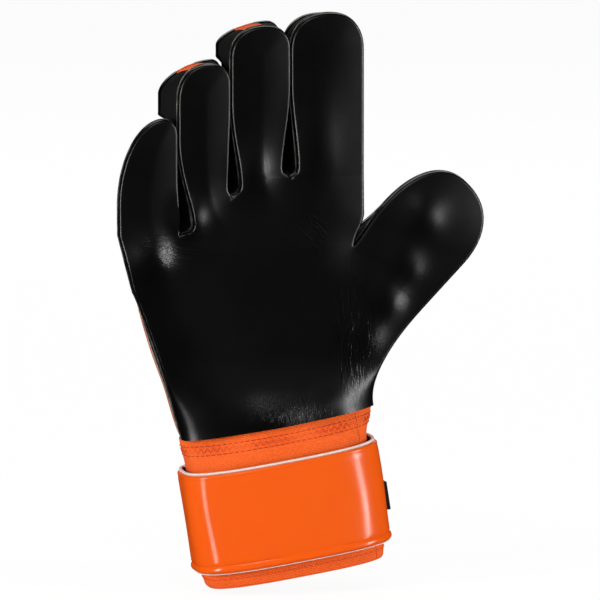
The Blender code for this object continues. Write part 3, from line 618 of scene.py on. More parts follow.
shares = [k / EDGE_STEPS for k in range(EDGE_STEPS + 1)]
heel_run = palm_right_side()[SIDE_ROWS::-1]
web_run = [(index_outer_side(z), z) for z in (mix(MIDDLE_ROOT, NOTCH_HEIGHT, share) for share in shares)]
hand_runs = {
    "little_side": ([palm_left_side(share) for share in shares],
                    [palm_left_side(share, True) for share in shares], (AXIS_ACROSS, RIGHT_WAY)),
    "thumb_heel": (heel_run, heel_run, (-THUMB_ACROSS, -AXIS_ACROSS)),
    "thumb_web": (web_run, web_run, (-RIGHT_WAY, -RIGHT_WAY)),
}
for name, number, top in (("ring_root", 1, RING_ROOT), ("middle_root", 2, MIDDLE_ROOT)):
    runs = []
    for side in (FRONT_STALLS[number], BACK_STALLS[number]):
        heights = [mix(side.roots[0] + ROOT_GAP, top, share ** 1.6) for share in shares]
        runs.append([(side.left_side(z), z) for z in heights])
    hand_runs[name] = (*runs, (RIGHT_WAY,))
stall_runs = {}
for stall, back_stall in zip(FRONT_STALLS, BACK_STALLS):
    across = THUMB_ACROSS if stall.name == "thumb" else RIGHT_WAY
    stall_runs[stall.name] = (stall.outline(stall.joint, stall.joint, 22, 44),
                              back_stall.outline(stall.joint, stall.joint, 22, 44), (across, -across))

for name, (front_run, back_run, ways) in hand_runs.items():
    finish_piece(f"{name}_backing", backing_strip(front_run, ways), PALE_KNIT, "hand")
for name, (front_run, back_run, ways) in stall_runs.items():
    finish_piece(f"{name}_backing", backing_strip(front_run, ways), PALE_KNIT, name)


# ---- Gussets ---------------------------------------------
# Strips of matt black knit sewn between the edge of the palm sheet and the edge of the back.  They
# bow out a little between the two seams.
GUSSET = 2.0 * MM
GUSSET_BOW = 0.5 * MM
GUSSET_ACROSS = 7
OVERHANG = 0.6 * MM           # how far the sheets' edges stand out past the wall
BACK_PANEL = 3.0 * MM


def gusset_wall(front_run, back_run, ways, outside=0.0, thickness=GUSSET, start=0.0):
    front_height = run_heights(front_run, FRONT_EDGE) - FOAM - SEAM_GAP - BACKING
    back_height = run_heights(back_run, BACK_EDGE) - BACK_PANEL - SEAM_GAP
    corners = []
    face = OVERHANG - outside
    profile = [(share, face - GUSSET_BOW * math.sin(math.pi * share))
               for share in (mix(start, 1.0, k / GUSSET_ACROSS) for k in range(GUSSET_ACROSS + 1))]
    profile += [(share, face + thickness - GUSSET_BOW * math.sin(math.pi * share) * (outside > 0))
                for share in (1.0, mix(start, 1.0, 0.66), mix(start, 1.0, 0.33), start)]
    for share, depth in profile:
        front_points = inward(front_run, depth, ways)
        back_points = inward(back_run, depth, ways)
        row = []
        for front_point, back_point, near, far in zip(front_points, back_points, front_height, back_height):
            flat = front_point.lerp(back_point, share)
            row.append(Vector((flat.x, mix(-near, far, share), flat.y)))
        corners.append(row)
    return swept(corners)


def knit_fabric(name, colour, pit_shade_colour, pitch, depth, roughness):
    """A machine knit or air mesh: rows of small cells on the piece's own flat map, each cell's hollow painted
    a darker colour as shade.
    """
    material, tree, shader = new_material(name)
    flat = node(tree, "UVMap", {}, uv_map="flat")
    skewed = node(tree, "Mapping", {"Vector": flat, "Rotation": (0.0, 0.0, math.radians(30))})
    cells = node(tree, "TexVoronoi", {"Vector": skewed, "Scale": 1 / pitch, "Randomness": 0.25})
    fibre = node(tree, "TexNoise", {"Vector": flat, "Scale": 3 / pitch, "Detail": 3.0})
    pit = node(tree, "MapRange", {"Value": cells, "From Min": 0.12, "From Max": 0.52})
    # Painted shade: the hollow of each cell, where the bump is lowest, takes the darker colour.
    tone = node(tree, "Mix", {"Factor": pit, "A": srgb(pit_shade_colour), "B": srgb(colour)}, data_type="RGBA")
    height = node(tree, "Math", {0: pit, 1: fibre}, operation="ADD")
    relief = node(tree, "Bump", {"Height": height, "Strength": 0.7, "Distance": depth})
    feed(tree, shader, {"Base Color": tone, "Normal": relief, "Roughness": roughness,
                        "Specular IOR Level": 0.25})
    return material


BLACK_KNIT = knit_fabric("black_gusset_knit", "#0B0A0A", "#050505", 1.0 * MM, 0.15 * MM, 0.8)
for body_runs, on_hand in ((hand_runs, True), (stall_runs, False)):
    for name, runs in body_runs.items():
        replaced = name if name == "thumb_web" else f"{name}_gusset"
        finish_piece(f"{name}_wall", gusset_wall(*runs), BLACK_KNIT, "hand" if on_hand else name,
                     [replaced])

# A cream tape covers the seam below the little finger, and shows beside the palm sheet.
TAPE = 0.45 * MM
TAPE_OUT = 0.60 * MM
TAPE_START = 0.62            # share of the wall's depth, from the palm side
TAPE_LOW, TAPE_HIGH = 0.02, 0.68
CREAM_TAPE = knit_edge("cream_seam_tape", "#DCC4B2", 0.7)
tape_shares = [mix(TAPE_LOW, TAPE_HIGH, k / 60) for k in range(61)]
tape = gusset_wall([palm_left_side(share) for share in tape_shares],
                   [palm_left_side(share, True) for share in tape_shares], (RIGHT_WAY,),
                   TAPE_OUT, TAPE, TAPE_START)
finish_piece("little_side_seam_tape", tape, CREAM_TAPE, "hand")


# ---- Backs of the fingers --------------------------------
# Three strips side by side, sewn edge to edge: a black latex pad, a strip of orange ribbed stretch
# mesh where the finger flexes, and another pad.  All three run over the fingertip into its seam.
PAD = 2.4 * MM
PAD_ROLL = 4.5 * MM
RIB_PITCH = 2.2 * MM
RIB_HEIGHT = 0.45 * MM
BACK_ROWS = 150
PAD_STEPS = 40
MESH_SHARES = (0.28, 0.58)
INDEX_MESH_TOP = 0.93        # share of its length; a black patch closes this fingertip
PATCH_GAP = 0.002


def ribbed_face(x, z):
    inside = distance_to_edge(x, z, BACK_EDGE)
    ribs = 0.5 + 0.5 * np.cos(z * 2 * math.pi / RIB_PITCH)
    return surface(x, z, BACK_EDGE) - RIB_HEIGHT * (1.0 - ribs) - rounded_rim(inside, RIM)


def back_face(x, z):
    return surface(x, z, BACK_EDGE)


def swollen_pad(outline):
    """The outer face of a pad that swells up from its outline."""
    edge = np.array(outline)

    def outer(x, z):
        inside = distance_to_edge(x, z, edge)
        rise = np.sin(np.clip(inside / PAD_ROLL, 0.0, 1.0) * math.pi / 2)
        return surface(x, z, BACK_EDGE) + PAD * rise
    return outer


# Polyester air mesh dyed orange: matt, with small round cells whose hollows are painted darker than their
# walls, as shade.
ORANGE_MESH = knit_fabric("orange_air_mesh", "#FF6A22", "#EE5716", 1.15 * MM, 0.22 * MM, 0.75)
for stall in BACK_STALLS:
    top = INDEX_MESH_TOP if stall.name == "index" else 1.0
    mesh_strip = sheet_from(stall_patch(stall, BACK_ROWS, MESH_SHARES, 14, (0.0, top)),
                            ribbed_face, BACK_PANEL, 1, back_face)
    finish_piece(f"{stall.name}_ribbed_mesh", mesh_strip, ORANGE_MESH, stall.name,
                 [f"{stall.name}_back_mesh"], sharp=50)
    for side, first, last in (("left", 0.0, MESH_SHARES[0]), ("right", MESH_SHARES[1], 1.0)):
        outline = [stall.point(first, k / PAD_STEPS) for k in range(PAD_STEPS)]
        outline += [stall.point(mix(first, last, across_share(k, PAD_STEPS)), 1.0) for k in range(PAD_STEPS)]
        outline += [stall.point(last, k / PAD_STEPS) for k in range(PAD_STEPS, 0, -1)]
        outline += [stall.point(last, 0.0), stall.point(first, 0.0)]
        bm = stall_patch(stall, 70, (first, last), 20)
        pad = finish_piece(f"{stall.name}_{side}_latex_pad",
                           sheet_from(bm, swollen_pad(outline), BACK_PANEL, 1, back_face), BLACK_LATEX,
                           stall.name, [f"{stall.name}_{side}_pad"])

patch = stall_patch(BACK_STALLS[3], 16, MESH_SHARES, 14, (INDEX_MESH_TOP + PATCH_GAP, 1.0))
finish_piece("index_fingertip_patch", sheet_from(patch, back_face, BACK_PANEL, 1), BLACK_LATEX, "index")

# The mesh of the two longest-reaching backs goes on over the fingertip, down to the palm sheet.
CAP = 0.35 * MM
CAP_GAP = 0.05 * MM
down = Vector((0.0, -1.0))
for front, back in list(zip(FRONT_STALLS, BACK_STALLS))[1:3]:
    shares = [mix(*MESH_SHARES, k / 24) for k in range(25)]
    front_run, back_run = ([stall.point(share, 1.0) for share in shares] for stall in (front, back))
    cap = gusset_wall(front_run, back_run, (down, down), CAP + CAP_GAP, CAP)
    finish_piece(f"{back.name}_fingertip_mesh", cap, ORANGE_MESH, back.name)


# ---- Backhand --------------------------------------------
# Orange latex foam over the back of the hand, pressed into panels with seams between them: two
# across it and one behind each finger's root, so that it folds with the knuckles.
PANEL_RISE = 0.8 * MM
PANEL_BEVEL = 0.9 * MM
SIDE_MARGIN = 0.095          # shares of a finger's width left flat beside the sheet's sides
SEAM_MARGIN = 0.030          # and beside the seams between the knuckle panels
PANEL_LEVELS = ((1 / 6, 1.0), (1.0, 1.0 + 5 / 8), (1.0 + 5 / 8, 2.5))


def panel_outlines():
    """Outlines of the panels on the flat sheet; level 1 is the thumb's heel, 2 the notch and 3 the top."""
    right_points = palm_right_side()
    low, high = right_points[0].y, right_points[-1].y
    stops = (0, SIDE_ROWS, SIDE_ROWS + STALL_COLUMNS, len(right_points) - 1)
    tops = [(stall.left_side(high), stall.right_side(high)) for stall in BACK_STALLS[:4]]
    width = tops[3][1] - tops[0][0]

    def spot(across, level):
        """A point of the core: across counts fingers from 0 to 4."""
        step = min(int(level), 2)
        row = round(mix(stops[step], stops[step + 1], level - step))
        finger = min(int(across), 3)
        x = mix(*tops[finger], across - finger)
        right_end = right_points[row]
        left_end = palm_left_side((right_end.y - low) / (high - low), True)
        return left_end.lerp(right_end, (x - tops[0][0]) / width)

    blocks = [(SIDE_MARGIN, 4 - SIDE_MARGIN, *span) for span in PANEL_LEVELS[:2]]
    for finger in range(4):
        blocks.append((finger + (SEAM_MARGIN if finger else SIDE_MARGIN),
                       finger + 1 - (SEAM_MARGIN if finger < 3 else SIDE_MARGIN), *PANEL_LEVELS[2]))
    outlines = []
    for first, last, bottom, top in blocks:
        steps = 60
        run = [spot(mix(first, last, k / steps), bottom) for k in range(steps)]
        run += [spot(last, mix(bottom, top, k / steps)) for k in range(steps)]
        run += [spot(mix(last, first, k / steps), top) for k in range(steps)]
        run += [spot(first, mix(top, bottom, k / steps)) for k in range(steps + 1)]
        outlines.append(np.array([(p[0], p[1]) for p in run]))
    return outlines


PANELS = panel_outlines()


def inside_polygon(x, z, outline):
    """Which points lie within a closed outline."""
    inside = np.zeros(len(x), dtype=bool)
    for (x0, z0), (x1, z1) in zip(outline[:-1], outline[1:]):
        crosses = (z0 > z) != (z1 > z)
        inside ^= crosses & (x < x0 + (z - z0) * (x1 - x0) / ((z1 - z0) or 1e-12))
    return inside


def backhand_face(x, z):
    height = surface(x, z, BACK_EDGE) - rounded_rim(distance_to_edge(x, z, BACK_EDGE), RIM)
    for outline in PANELS:
        rise = np.clip(distance_to_edge(x, z, outline) / PANEL_BEVEL, 0.0, 1.0)
        height += PANEL_RISE * np.sin(rise * inside_polygon(x, z, outline) * math.pi / 2)
    return height


# The same latex foam dyed orange, with a satin skin that spreads the highlights wide.
ORANGE_LATEX = latex_skin("orange_latex_smooth_skin", "#F5600F", "#EE5A10", 0.40, 0.08 * MM)
backhand = finish_piece("backhand_foam_sheet",
                        sheet_from(hand_sheet(BACK_STALLS, True), backhand_face, BACK_PANEL, 1, back_face),
                        ORANGE_LATEX, "hand", ["backhand_foam"])


# ---- Linings ---------------------------------------------
# Thin black brushed fabric, matt and a little fuzzy, lies inside the palm and inside the back of the
# hand, under the foam.  It stops short of the sides, where the seams are.
LINING = 1.0 * MM
LINING_COLUMN = 8            # columns left free at each side
BLACK_LINING = knit_fabric("black_brushed_lining", "#2A2A2A", "#1C1C1C", 1.2 * MM, 0.1 * MM, 0.9)
for name, stalls, is_back, edge, layer, direction in (
        ("palm_lining", FRONT_STALLS, False, FRONT_EDGE, FOAM, -1),
        ("backhand_lining", BACK_STALLS, True, BACK_EDGE, BACK_PANEL, 1)):
    core, columns, rows = core_grid(stalls, is_back)
    bm = bmesh.new()
    laid_grid(bm, columns - 2 * LINING_COLUMN, rows - NOTCH_ROWS,
              lambda column, row: core(column + LINING_COLUMN, row))

    def under(x, z):
        height = surface(x, z, edge) - layer - SEAM_GAP
        return height if is_back else height + softer_crown(distance_to_edge(x, z, edge))
    finish_piece(f"{name}_fabric", sheet_from(bm, under, LINING, direction), BLACK_LINING, "hand",
                 [name])


# ---- Wrist cuff ------------------------------------------
# A sleeve of orange air mesh in three parts: front, back and a narrow insert at the thumb's side.
# Its mouth has a folded hem, and two rows of lockstitch with a zigzag between them hold the palm.
CUFF_WALL = 2.5 * MM
CUFF_HALF_WIDTH = 44.0 * MM
CUFF_HALF_DEPTH = 21.5 * MM
CUFF_SQUARENESS = 2.8
MOUTH_DRAW_IN = 1.2 * MM
HEM_HEIGHT = 10.0 * MM
STRAP_START = 8.6 * MM
STRAP_WIDTH = 48.0 * MM
STRAP_END = STRAP_START + STRAP_WIDTH
FOLD_HEIGHT = 6.0 * MM
FOLD = 0.5 * MM
ROUNDING = 0.8 * MM
MOUTH_EDGE = 0.5 * MM         # the folded mouth is rounded by this much
RIPPLE = 0.25 * MM           # waves in the cloth above the strap, which fade in over the reach
RIPPLE_REACH = 4.0 * MM
RIPPLES = 9
RIPPLE_SLANT = 0.11          # radians for each millimetre up
CUFF_LEFT_SEAM = 180
CUFF_FRONT_SEAM = -38
CUFF_BACK_SEAM = 26


def cuff_size(height):
    if height < HEM_HEIGHT:
        draw = MOUTH_DRAW_IN * (1.0 - height / HEM_HEIGHT) ** 2
        return CUFF_HALF_WIDTH - draw, CUFF_HALF_DEPTH - draw
    flare = smooth((height - STRAP_END) / (CUFF_LENGTH - STRAP_END))
    return mix(CUFF_HALF_WIDTH, WRIST_HALF_WIDTH, flare), CUFF_HALF_DEPTH


def cuff_point(angle, height, offset):
    """A point on the cuff: 0 degrees is the thumb's side and 90 degrees is the back."""
    half_width, half_depth = cuff_size(height)
    cosine, sine = math.cos(math.radians(angle)), math.sin(math.radians(angle))
    fuller = (abs(cosine) ** CUFF_SQUARENESS + abs(sine) ** CUFF_SQUARENESS) ** (-1.0 / CUFF_SQUARENESS)
    above_strap = smooth((height - STRAP_END) / (CUFF_LENGTH - STRAP_END))
    reach = mix(fuller, 1.0, above_strap)
    stand_out = WRIST_FULLNESS * above_strap * max(cosine, 0.0) ** 2
    flat = AXIS_ACROSS * ((half_width + offset) * cosine * reach + stand_out) + AXIS_UP * height
    return Vector((flat.x, (half_depth + offset) * sine * reach, flat.y))


def gap_degrees(angle, gap):
    turn = math.radians(angle)
    return math.degrees(gap / math.hypot(CUFF_HALF_WIDTH * math.sin(turn), CUFF_HALF_DEPTH * math.cos(turn)))


def arc_length(start, end):
    """The length round the cuff between two angles."""
    return running_lengths([cuff_point(mix(start, end, k / 90), STRAP_START, 0.0) for k in range(91)])[-1]


def wrapped(start, end, columns, edges, outer, inner):
    """A band round the cuff between two angles. edges are its low and high edge, or give them for an
    angle; outer and inner are its faces' distances from the cuff, or give them for a share and an angle."""
    rows = 40
    bm = bmesh.new()
    bmesh.ops.create_grid(bm, x_segments=columns, y_segments=rows, size=0.5)
    bmesh.ops.extrude_face_region(bm, geom=list(bm.faces))
    bm.verts.ensure_lookup_table()
    half = len(bm.verts) // 2
    reach = arc_length(start, end)
    places = {}
    for number, vert in enumerate(bm.verts):
        share = across_share(round((vert.co.y + 0.5) * rows), rows)
        around = round((vert.co.x + 0.5) * columns) / columns
        angle = mix(start, end, around)
        height = mix(*(edges(angle) if callable(edges) else edges), share)
        away = outer if number < half else inner
        places[vert] = (around * reach, height)
        vert.co = cuff_point(angle, height, away(share, angle) if callable(away) else away)
    write_flat_map(bm, places)
    return bm


def cuff_outside(share, angle):
    height = share * CUFF_LENGTH
    fold = FOLD * (1.0 - smooth((height - FOLD_HEIGHT) / ROUNDING))
    ripple = RIPPLE * math.sin(math.radians(angle) * RIPPLES + height / MM * RIPPLE_SLANT)
    rounded = MOUTH_EDGE * (1 - smooth(height / ROUNDING))
    return fold + ripple * smooth((height - STRAP_END) / RIPPLE_REACH) - rounded


for name, start, end, columns in (("cuff_front", -CUFF_LEFT_SEAM, CUFF_FRONT_SEAM, 150),
                                  ("cuff_side_insert", CUFF_FRONT_SEAM, CUFF_BACK_SEAM, 50),
                                  ("cuff_back", CUFF_BACK_SEAM, CUFF_LEFT_SEAM, 150)):
    start += gap_degrees(start, SEAM_GAP / 2)
    end -= gap_degrees(end, SEAM_GAP / 2)
    sleeve = wrapped(start, end, columns, (0.0, CUFF_LENGTH), cuff_outside, -CUFF_WALL)
    piece = finish_piece(f"{name}_mesh", sleeve, ORANGE_MESH, "hand", [name], sharp=50)
    arc_length(start, end)


def stitches(name, pairs, outs, thickness, material):
    """A row of thread stitches laid between pairs of points."""
    bm = bmesh.new()
    for (a, b), out in zip(pairs, outs):
        made = bmesh.ops.create_uvsphere(bm, u_segments=6, v_segments=5, radius=0.5)
        along = b - a
        side = along.cross(out).normalized()
        lift = side.cross(along).normalized()
        middle = (a + b) / 2
        for vert in made["verts"]:
            co = vert.co.copy()
            vert.co = (middle + along * co.z * 1.05 + side * co.x * thickness
                       + lift * (co.y * thickness * 0.8 + 0.5 * thickness * (0.5 - 2 * co.z ** 2)))
    finish_piece(name, bm, material, "hand", sharp=80)


PLY = 0.4 * MM
THREAD_ROUGHNESS = 0.55


def thread(name, colour):
    """Spun polyester thread: a soft sheen, with the twist of its plies across each stitch."""
    material, tree, shader = new_material(name)
    place = node(tree, "TexCoord", {}).outputs["Object"]
    ply = node(tree, "TexNoise", {"Vector": place, "Scale": 1 / PLY, "Detail": 2.0})
    twist = node(tree, "Bump", {"Height": ply, "Strength": 0.5, "Distance": 0.1 * MM})
    feed(tree, shader, {"Normal": twist, "Base Color": srgb(colour), "Roughness": THREAD_ROUGHNESS})
    return material


# The palm rows' thread is painted a darker orange than the real thread, as the shade of the needle holes it
# sinks into.
SHADED_ORANGE_THREAD = thread("orange_polyester_thread", "#C23A10")
PALE_THREAD = thread("light_orange_polyester_thread", "#E4541C")
STITCH = 2.6 * MM
STITCH_SHARE = 0.78          # of the pitch; the rest is the gap where the thread dips in
STITCH_LIFT = 0.12 * MM
THREAD = 0.55 * MM
ZIGZAG = 1.5 * MM
ZIGZAG_LIFT = 0.1 * MM
ZIGZAG_MARGIN = 0.9 * MM
FINE_THREAD = 0.45 * MM
ROW_START = -178             # degrees; a row ends as far on the other side


def stitched_round(low, high, pitch, share, lift):
    """Pairs of points for stitches round the cuff, up and down in turn, with the way out at each."""
    pairs, outs = [], []
    angle = ROW_START
    while angle < -ROW_START:
        after = angle + gap_degrees(angle, pitch)
        pairs.append((cuff_point(angle, low, lift), cuff_point(mix(angle, after, share), high, lift)))
        outs.append((cuff_point(angle, low, 1.0 * MM) - cuff_point(angle, low, 0.0)).normalized())
        angle = after
        if share == 1.0:
            low, high = high, low
    return pairs, outs


PALM_ROW = CUFF_LENGTH - 3.6 * MM
LOWER_ROW = CUFF_LENGTH - 8.0 * MM
HEM_ROW = FOLD_HEIGHT - 1.2 * MM
pairs, outs = [], []
for row in (PALM_ROW, LOWER_ROW):
    row_pairs, row_outs = stitched_round(row, row, STITCH, STITCH_SHARE, STITCH_LIFT)
    pairs += row_pairs
    outs += row_outs
stitches("palm_edge_stitches", pairs, outs, THREAD, SHADED_ORANGE_THREAD)
pairs, outs = stitched_round(LOWER_ROW + ZIGZAG_MARGIN, PALM_ROW - ZIGZAG_MARGIN, ZIGZAG, 1.0, ZIGZAG_LIFT)
stitches("palm_edge_zigzag", pairs, outs, FINE_THREAD, PALE_THREAD)
pairs, outs = stitched_round(HEM_ROW, HEM_ROW, STITCH, STITCH_SHARE, STITCH_LIFT)
pairs = [(a + out * FOLD, b + out * FOLD) for (a, b), out in zip(pairs, outs)]
stitches("hem_stitches", pairs, outs, THREAD, PALE_THREAD)


# ---- Loop patch ------------------------------------------
# A patch of black loop pile, a matt brushed knit, sewn flat to the back of the cuff.  The hook patch
# on the strap's free end grips it.
PATCH = 1.2 * MM
PATCH_MARGIN = 6.0 * MM
PATCH_START = 46
PATCH_END = 118
LOOP_PILE = knit_fabric("black_loop_pile", "#191919", "#0B0B0B", 0.8 * MM, 0.4 * MM, 0.95)
loops = wrapped(PATCH_START, PATCH_END, 60, (STRAP_START + PATCH_MARGIN, STRAP_END - PATCH_MARGIN),
                SEAM_GAP + PATCH, SEAM_GAP)
finish_piece("loop_patch_pile", loops, LOOP_PILE, "hand", ["loop_patch"])


# ---- Wrist strap -----------------------------------------
# A band of glossy orange latex over cream foam, sewn behind the thumb's side, wrapped round the
# palm side and closed over the back.  The foam shows as a pale line along the top, and the bottom
# edge is turned under into a rolled hem.
STRAP_FOAM = 3.2 * MM
STRAP_SKIN = 1.6 * MM
FOAM_PEEK = 1.3 * MM
SKIN_OFFSET = STRAP_FOAM + 2 * SEAM_GAP
STRAP_ANCHOR = 35
FLAP_HINGE = 150
FLAP_END = 42
FLAP_END_WIDTH = 30.0 * MM
HOOK_END = 88
HEM_BAND = 3.4 * MM
STRAP_MIDDLE = STRAP_START + STRAP_WIDTH / 2
SQUEEZE = 1.2 * MM
EDGE_ROLL = 0.9 * MM
EDGE_DROP = 0.7 * MM
FLARE = 1.8 * MM             # the top edge stands off the cuff; shares of the strap's width
FLARE_START, FLARE_REACH = 0.80, 0.18
HEM_ROLL = 0.45 * MM
HEM_GROOVE, GROOVE_WIDTH = 0.35 * MM, 0.5 * MM
BORDER_GROOVE, BORDER_WIDTH, BORDER_PLACE = 0.22 * MM, 0.45 * MM, 2.2 * MM
# Slow waves: how high, how many round a radian, and the length over which they slant one way or back
STRAP_WAVES = ((0.30 * MM, 2.3, 17 * MM), (0.18 * MM, 5.1, -11 * MM))
TOP_LIP, TOP_LIP_START, TOP_LIP_REACH = 0.9 * MM, 0.974, 0.006
LOW_LIP, LOW_LIP_END, LOW_LIP_REACH = 1.2 * MM, 0.014, 0.008
FOAM_BELOW = 0.5 * MM        # the foam starts this far below the skin, and the lining above it
LINING_ABOVE = 1.0 * MM
LINING_SHORT = 0.5 * MM
STRAP_LINING_GAP = 0.15 * MM
STRAP_LINING = 0.6 * MM


def squeezed(angle):
    """How far the foam is pressed in where the strap is pulled round the wrist's sides."""
    return SQUEEZE * abs(math.cos(math.radians(angle))) ** 4


def standing_off(share, angle):
    """The foam's inner side, which stands off the cuff along the strap's top edge."""
    flare = FLARE * smooth((share - FLARE_START) / FLARE_REACH)
    return SEAM_GAP + LINING + flare * (1.0 - 0.6 * squeezed(angle) / SQUEEZE)


def strap_skin_outside(share, angle):
    """The skin's face: a rolled hem below, a soft edge above and slow waves along it."""
    from_bottom = share * STRAP_WIDTH
    from_top = STRAP_WIDTH - from_bottom
    roll = HEM_ROLL * math.sin(math.pi * min(from_bottom / HEM_BAND, 1.0))
    groove = HEM_GROOVE * math.exp(-((from_bottom - HEM_BAND) / GROOVE_WIDTH) ** 2)
    border = BORDER_GROOVE * math.exp(-((from_top - BORDER_PLACE) / BORDER_WIDTH) ** 2)
    soft = EDGE_DROP * sum(max(0.0, 1 - edge / EDGE_ROLL) ** 2 for edge in (from_top, from_bottom))
    turn = math.radians(angle)
    wave = sum(rise * math.sin(turns * turn + from_bottom / slant) for rise, turns, slant in STRAP_WAVES)
    return (SKIN_OFFSET + STRAP_SKIN + roll - groove - border - soft - squeezed(angle)
            + wave * max(math.sin(math.pi * share), 0.0) ** 0.5)


def foam_lip(share):
    """The foam swells out over the skin's cut edges, most along the top."""
    return (TOP_LIP * smooth((share - TOP_LIP_START) / TOP_LIP_REACH)
            + LOW_LIP * smooth((LOW_LIP_END - share) / LOW_LIP_REACH))


# Latex with a polished skin mirrors the lights in sharp bands; its foam's cut edge is matt cream.
GLOSSY_LATEX = latex_skin("orange_strap_glossy_latex", "#F6600A", "#F35A08", 0.20, 0.02 * MM)
CREAM_FOAM = knit_edge("cream_foam_edge", "#FFF2E8", 0.95)
strap_span = (FLAP_HINGE - 360, STRAP_ANCHOR)
skin = wrapped(*strap_span, 240, (STRAP_START, STRAP_END), strap_skin_outside,
               lambda share, angle: SKIN_OFFSET - squeezed(angle))
finish_piece("strap_front_skin", skin, GLOSSY_LATEX, "hand", ["strap_skin"], sharp=50)
foam = wrapped(*strap_span, 200, (STRAP_START - FOAM_BELOW, STRAP_END + FOAM_PEEK),
               lambda share, angle: SKIN_OFFSET - SEAM_GAP - squeezed(angle) + foam_lip(share), standing_off)
finish_piece("strap_front_foam", foam, CREAM_FOAM, "hand", ["strap_foam"])
# A black lining inside the strap, also put there as painted shade: it darkens the gap between the foam and
# the cuff.
lining = wrapped(*strap_span, 120, (STRAP_START + LINING_ABOVE, STRAP_END + FOAM_PEEK - LINING_SHORT),
                 lambda share, angle: standing_off(share, angle) - STRAP_LINING_GAP,
                 lambda share, angle: standing_off(share, angle) - STRAP_LINING_GAP - STRAP_LINING)
finish_piece("strap_front_lining_and_shade", lining, BLACK_LINING, "hand")


def flap_edges(angle):
    narrowing = (STRAP_WIDTH - FLAP_END_WIDTH) / 2 * smooth((HOOK_END - angle) / (HOOK_END - FLAP_END))
    return STRAP_START + narrowing, STRAP_END - narrowing


flap = wrapped(FLAP_END, FLAP_HINGE, 120, flap_edges, strap_skin_outside, SKIN_OFFSET)
finish_piece("strap_flap_skin", flap, GLOSSY_LATEX, "strap_flap", ["flap_skin"], sharp=50)
foam = wrapped(PATCH_END + 1.0, FLAP_HINGE, 40, (STRAP_START + PATCH, STRAP_END + FOAM_PEEK),
               STRAP_FOAM + SEAM_GAP, SEAM_GAP)
foam = finish_piece("strap_flap_foam", foam, CREAM_FOAM, "strap_flap", ["flap_foam"])

# Moulded nylon hooks on tape: coarser than the pile, and a little shiny.
HOOK_TAPE = knit_fabric("black_hook_tape", "#1B1B1B", "#0A0A0A", 1.4 * MM, 0.5 * MM, 0.5)
half_width = FLAP_END_WIDTH / 2 - PATCH
hooks = wrapped(PATCH_START, PATCH_END, 60, (STRAP_MIDDLE - half_width, STRAP_MIDDLE + half_width),
                SKIN_OFFSET - SEAM_GAP, 2 * SEAM_GAP + PATCH)
finish_piece("hook_patch_tape", hooks, HOOK_TAPE, "strap_flap", ["hook_patch"])


# ---- Pull tab --------------------------------------------
# A short piece of black webbing, woven with a faint sheen and sewn over the strap's free end.  It
# reaches on to the thumb's side, and is gripped to open the strap.
TAB_WIDTH = 13.5 * MM
TAB_THICKNESS = 1.6 * MM
TAB_DROP = 5.5 * MM
TAB_START = 54
TAB_END = 1
tab_middle = STRAP_MIDDLE - TAB_DROP
WEBBING = knit_fabric("black_woven_webbing", "#1C1B1B", "#0C0B0B", 1.1 * MM, 0.3 * MM, 0.6)
tab_inside = SKIN_OFFSET + STRAP_SKIN + SEAM_GAP
tab = wrapped(TAB_END, TAB_START, 60, (tab_middle - TAB_WIDTH / 2, tab_middle + TAB_WIDTH / 2),
              tab_inside + TAB_THICKNESS, tab_inside)
finish_piece("pull_tab_webbing", tab, WEBBING, "strap_flap", ["pull_tab"])


# ---- Floor, light and camera -----------------------------
# A white floor just under the cuff's mouth and plain soft studio light.  The camera looks from a
# little to the left and a little above, through a long lens.
FLOOR_HEIGHT = -9.0 * MM
WHITE = (1.0, 1.0, 1.0, 1.0)
bm = bmesh.new()
bmesh.ops.create_grid(bm, x_segments=1, y_segments=1, size=6.0)
floor_mesh = bpy.data.meshes.new("floor")
bm.to_mesh(floor_mesh)
bm.free()
floor = bpy.data.objects.new("floor", floor_mesh)
floor.location = (0, 0, FLOOR_HEIGHT)
bpy.context.scene.collection.objects.link(floor)
paper, tree, shader = new_material("white_paper_floor")
feed(tree, shader, {"Base Color": srgb("#E8E8E8"), "Roughness": 0.9})
path = node(tree, "LightPath", {})
glow = node(tree, "Emission", {"Color": WHITE, "Strength": 1.06})
seen = node(tree, "Math", {0: path.outputs["Is Camera Ray"], 1: 0.88}, operation="MULTIPLY")
bright = node(tree, "MixShader", {0: seen, 1: shader, 2: glow})
clear = node(tree, "BsdfTransparent", {})
blend = node(tree, "MixShader", {0: path.outputs["Is Glossy Ray"], 1: bright, 2: clear})
feed(tree, tree.nodes["Material Output"], {"Surface": blend})
floor_mesh.materials.append(paper)

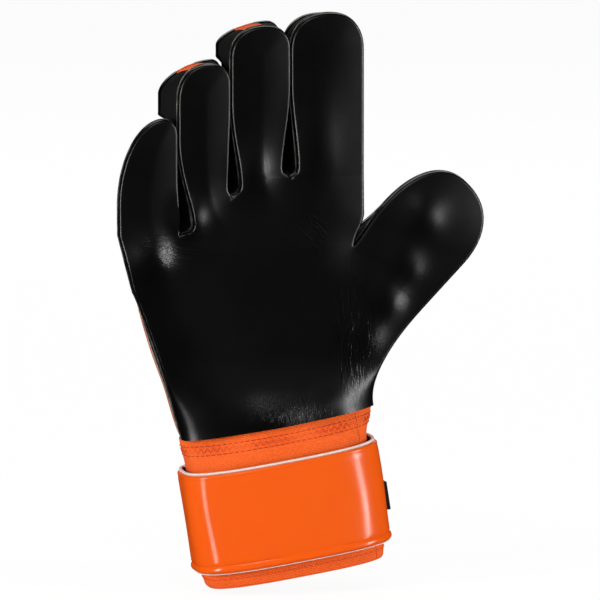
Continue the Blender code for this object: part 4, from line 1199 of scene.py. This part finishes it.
world = bpy.data.worlds.new("studio")
world.use_nodes = True
bpy.context.scene.world = world
tree = world.node_tree
ambient = tree.nodes["Background"]
feed(tree, ambient, {"Color": WHITE, "Strength": 0.34})
dark, white = (node(tree, "Background", {"Color": WHITE, "Strength": level}) for level in (0.008, 1.0))
path = node(tree, "LightPath", {})
mirrored = node(tree, "MixShader", {0: path.outputs["Is Glossy Ray"], 1: ambient, 2: dark})
chosen = node(tree, "MixShader", {0: path.outputs["Is Camera Ray"], 1: mirrored, 2: white})
feed(tree, tree.nodes["World Output"], {"Surface": chosen})

GLOVE_MIDDLE = Vector((0.0, 0.0, 0.13))


def softbox(name, place, size, power):
    light = bpy.data.lights.new(name, "AREA")
    light.shape = "RECTANGLE"
    light.size, light.size_y = size
    light.energy = power
    lamp = bpy.data.objects.new(name, light)
    lamp.location = place
    lamp.rotation_euler = (GLOVE_MIDDLE - Vector(place)).to_track_quat("-Z", "Y").to_euler()
    bpy.context.scene.collection.objects.link(lamp)


softbox("left_strip", (-1.60, -0.74, 0.05), (0.30, 1.5), 36)
softbox("right_strip", (1.44, -1.03, 0.05), (0.24, 1.5), 30)
softbox("top_softbox", (-0.45, -1.1, 1.5), (0.8, 0.5), 6)
softbox("back_fill", (0.3, 1.6, 0.9), (1.2, 1.0), 4)

AZIMUTH = math.radians(-13)
ELEVATION = math.radians(8)
DISTANCE = 10.0
MM_PER_PIXEL = 0.48
PICTURE = 600
ORIGIN_PIXEL = (294.5, 570.2)
level = Vector((math.sin(AZIMUTH), -math.cos(AZIMUTH), 0.0))
toward = level * math.cos(ELEVATION) + Vector((0.0, 0.0, math.sin(ELEVATION)))
right = Vector((math.cos(AZIMUTH), math.sin(AZIMUTH), 0.0))
up = toward.cross(right)
pixel = MM_PER_PIXEL * MM
aim = (right * (PICTURE / 2 - ORIGIN_PIXEL[0]) + up * (ORIGIN_PIXEL[1] - PICTURE / 2)) * pixel
camera_data = bpy.data.cameras.new("camera")
camera_data.sensor_width = 36.0
camera_data.lens = camera_data.sensor_width * DISTANCE / (PICTURE * pixel)
camera = bpy.data.objects.new("camera", camera_data)
camera.location = aim + toward * DISTANCE
camera.rotation_euler = (-toward).to_track_quat("-Z", "Y").to_euler()
bpy.context.scene.collection.objects.link(camera)
bpy.context.scene.camera = camera
bpy.context.scene.view_settings.view_transform = "Standard"
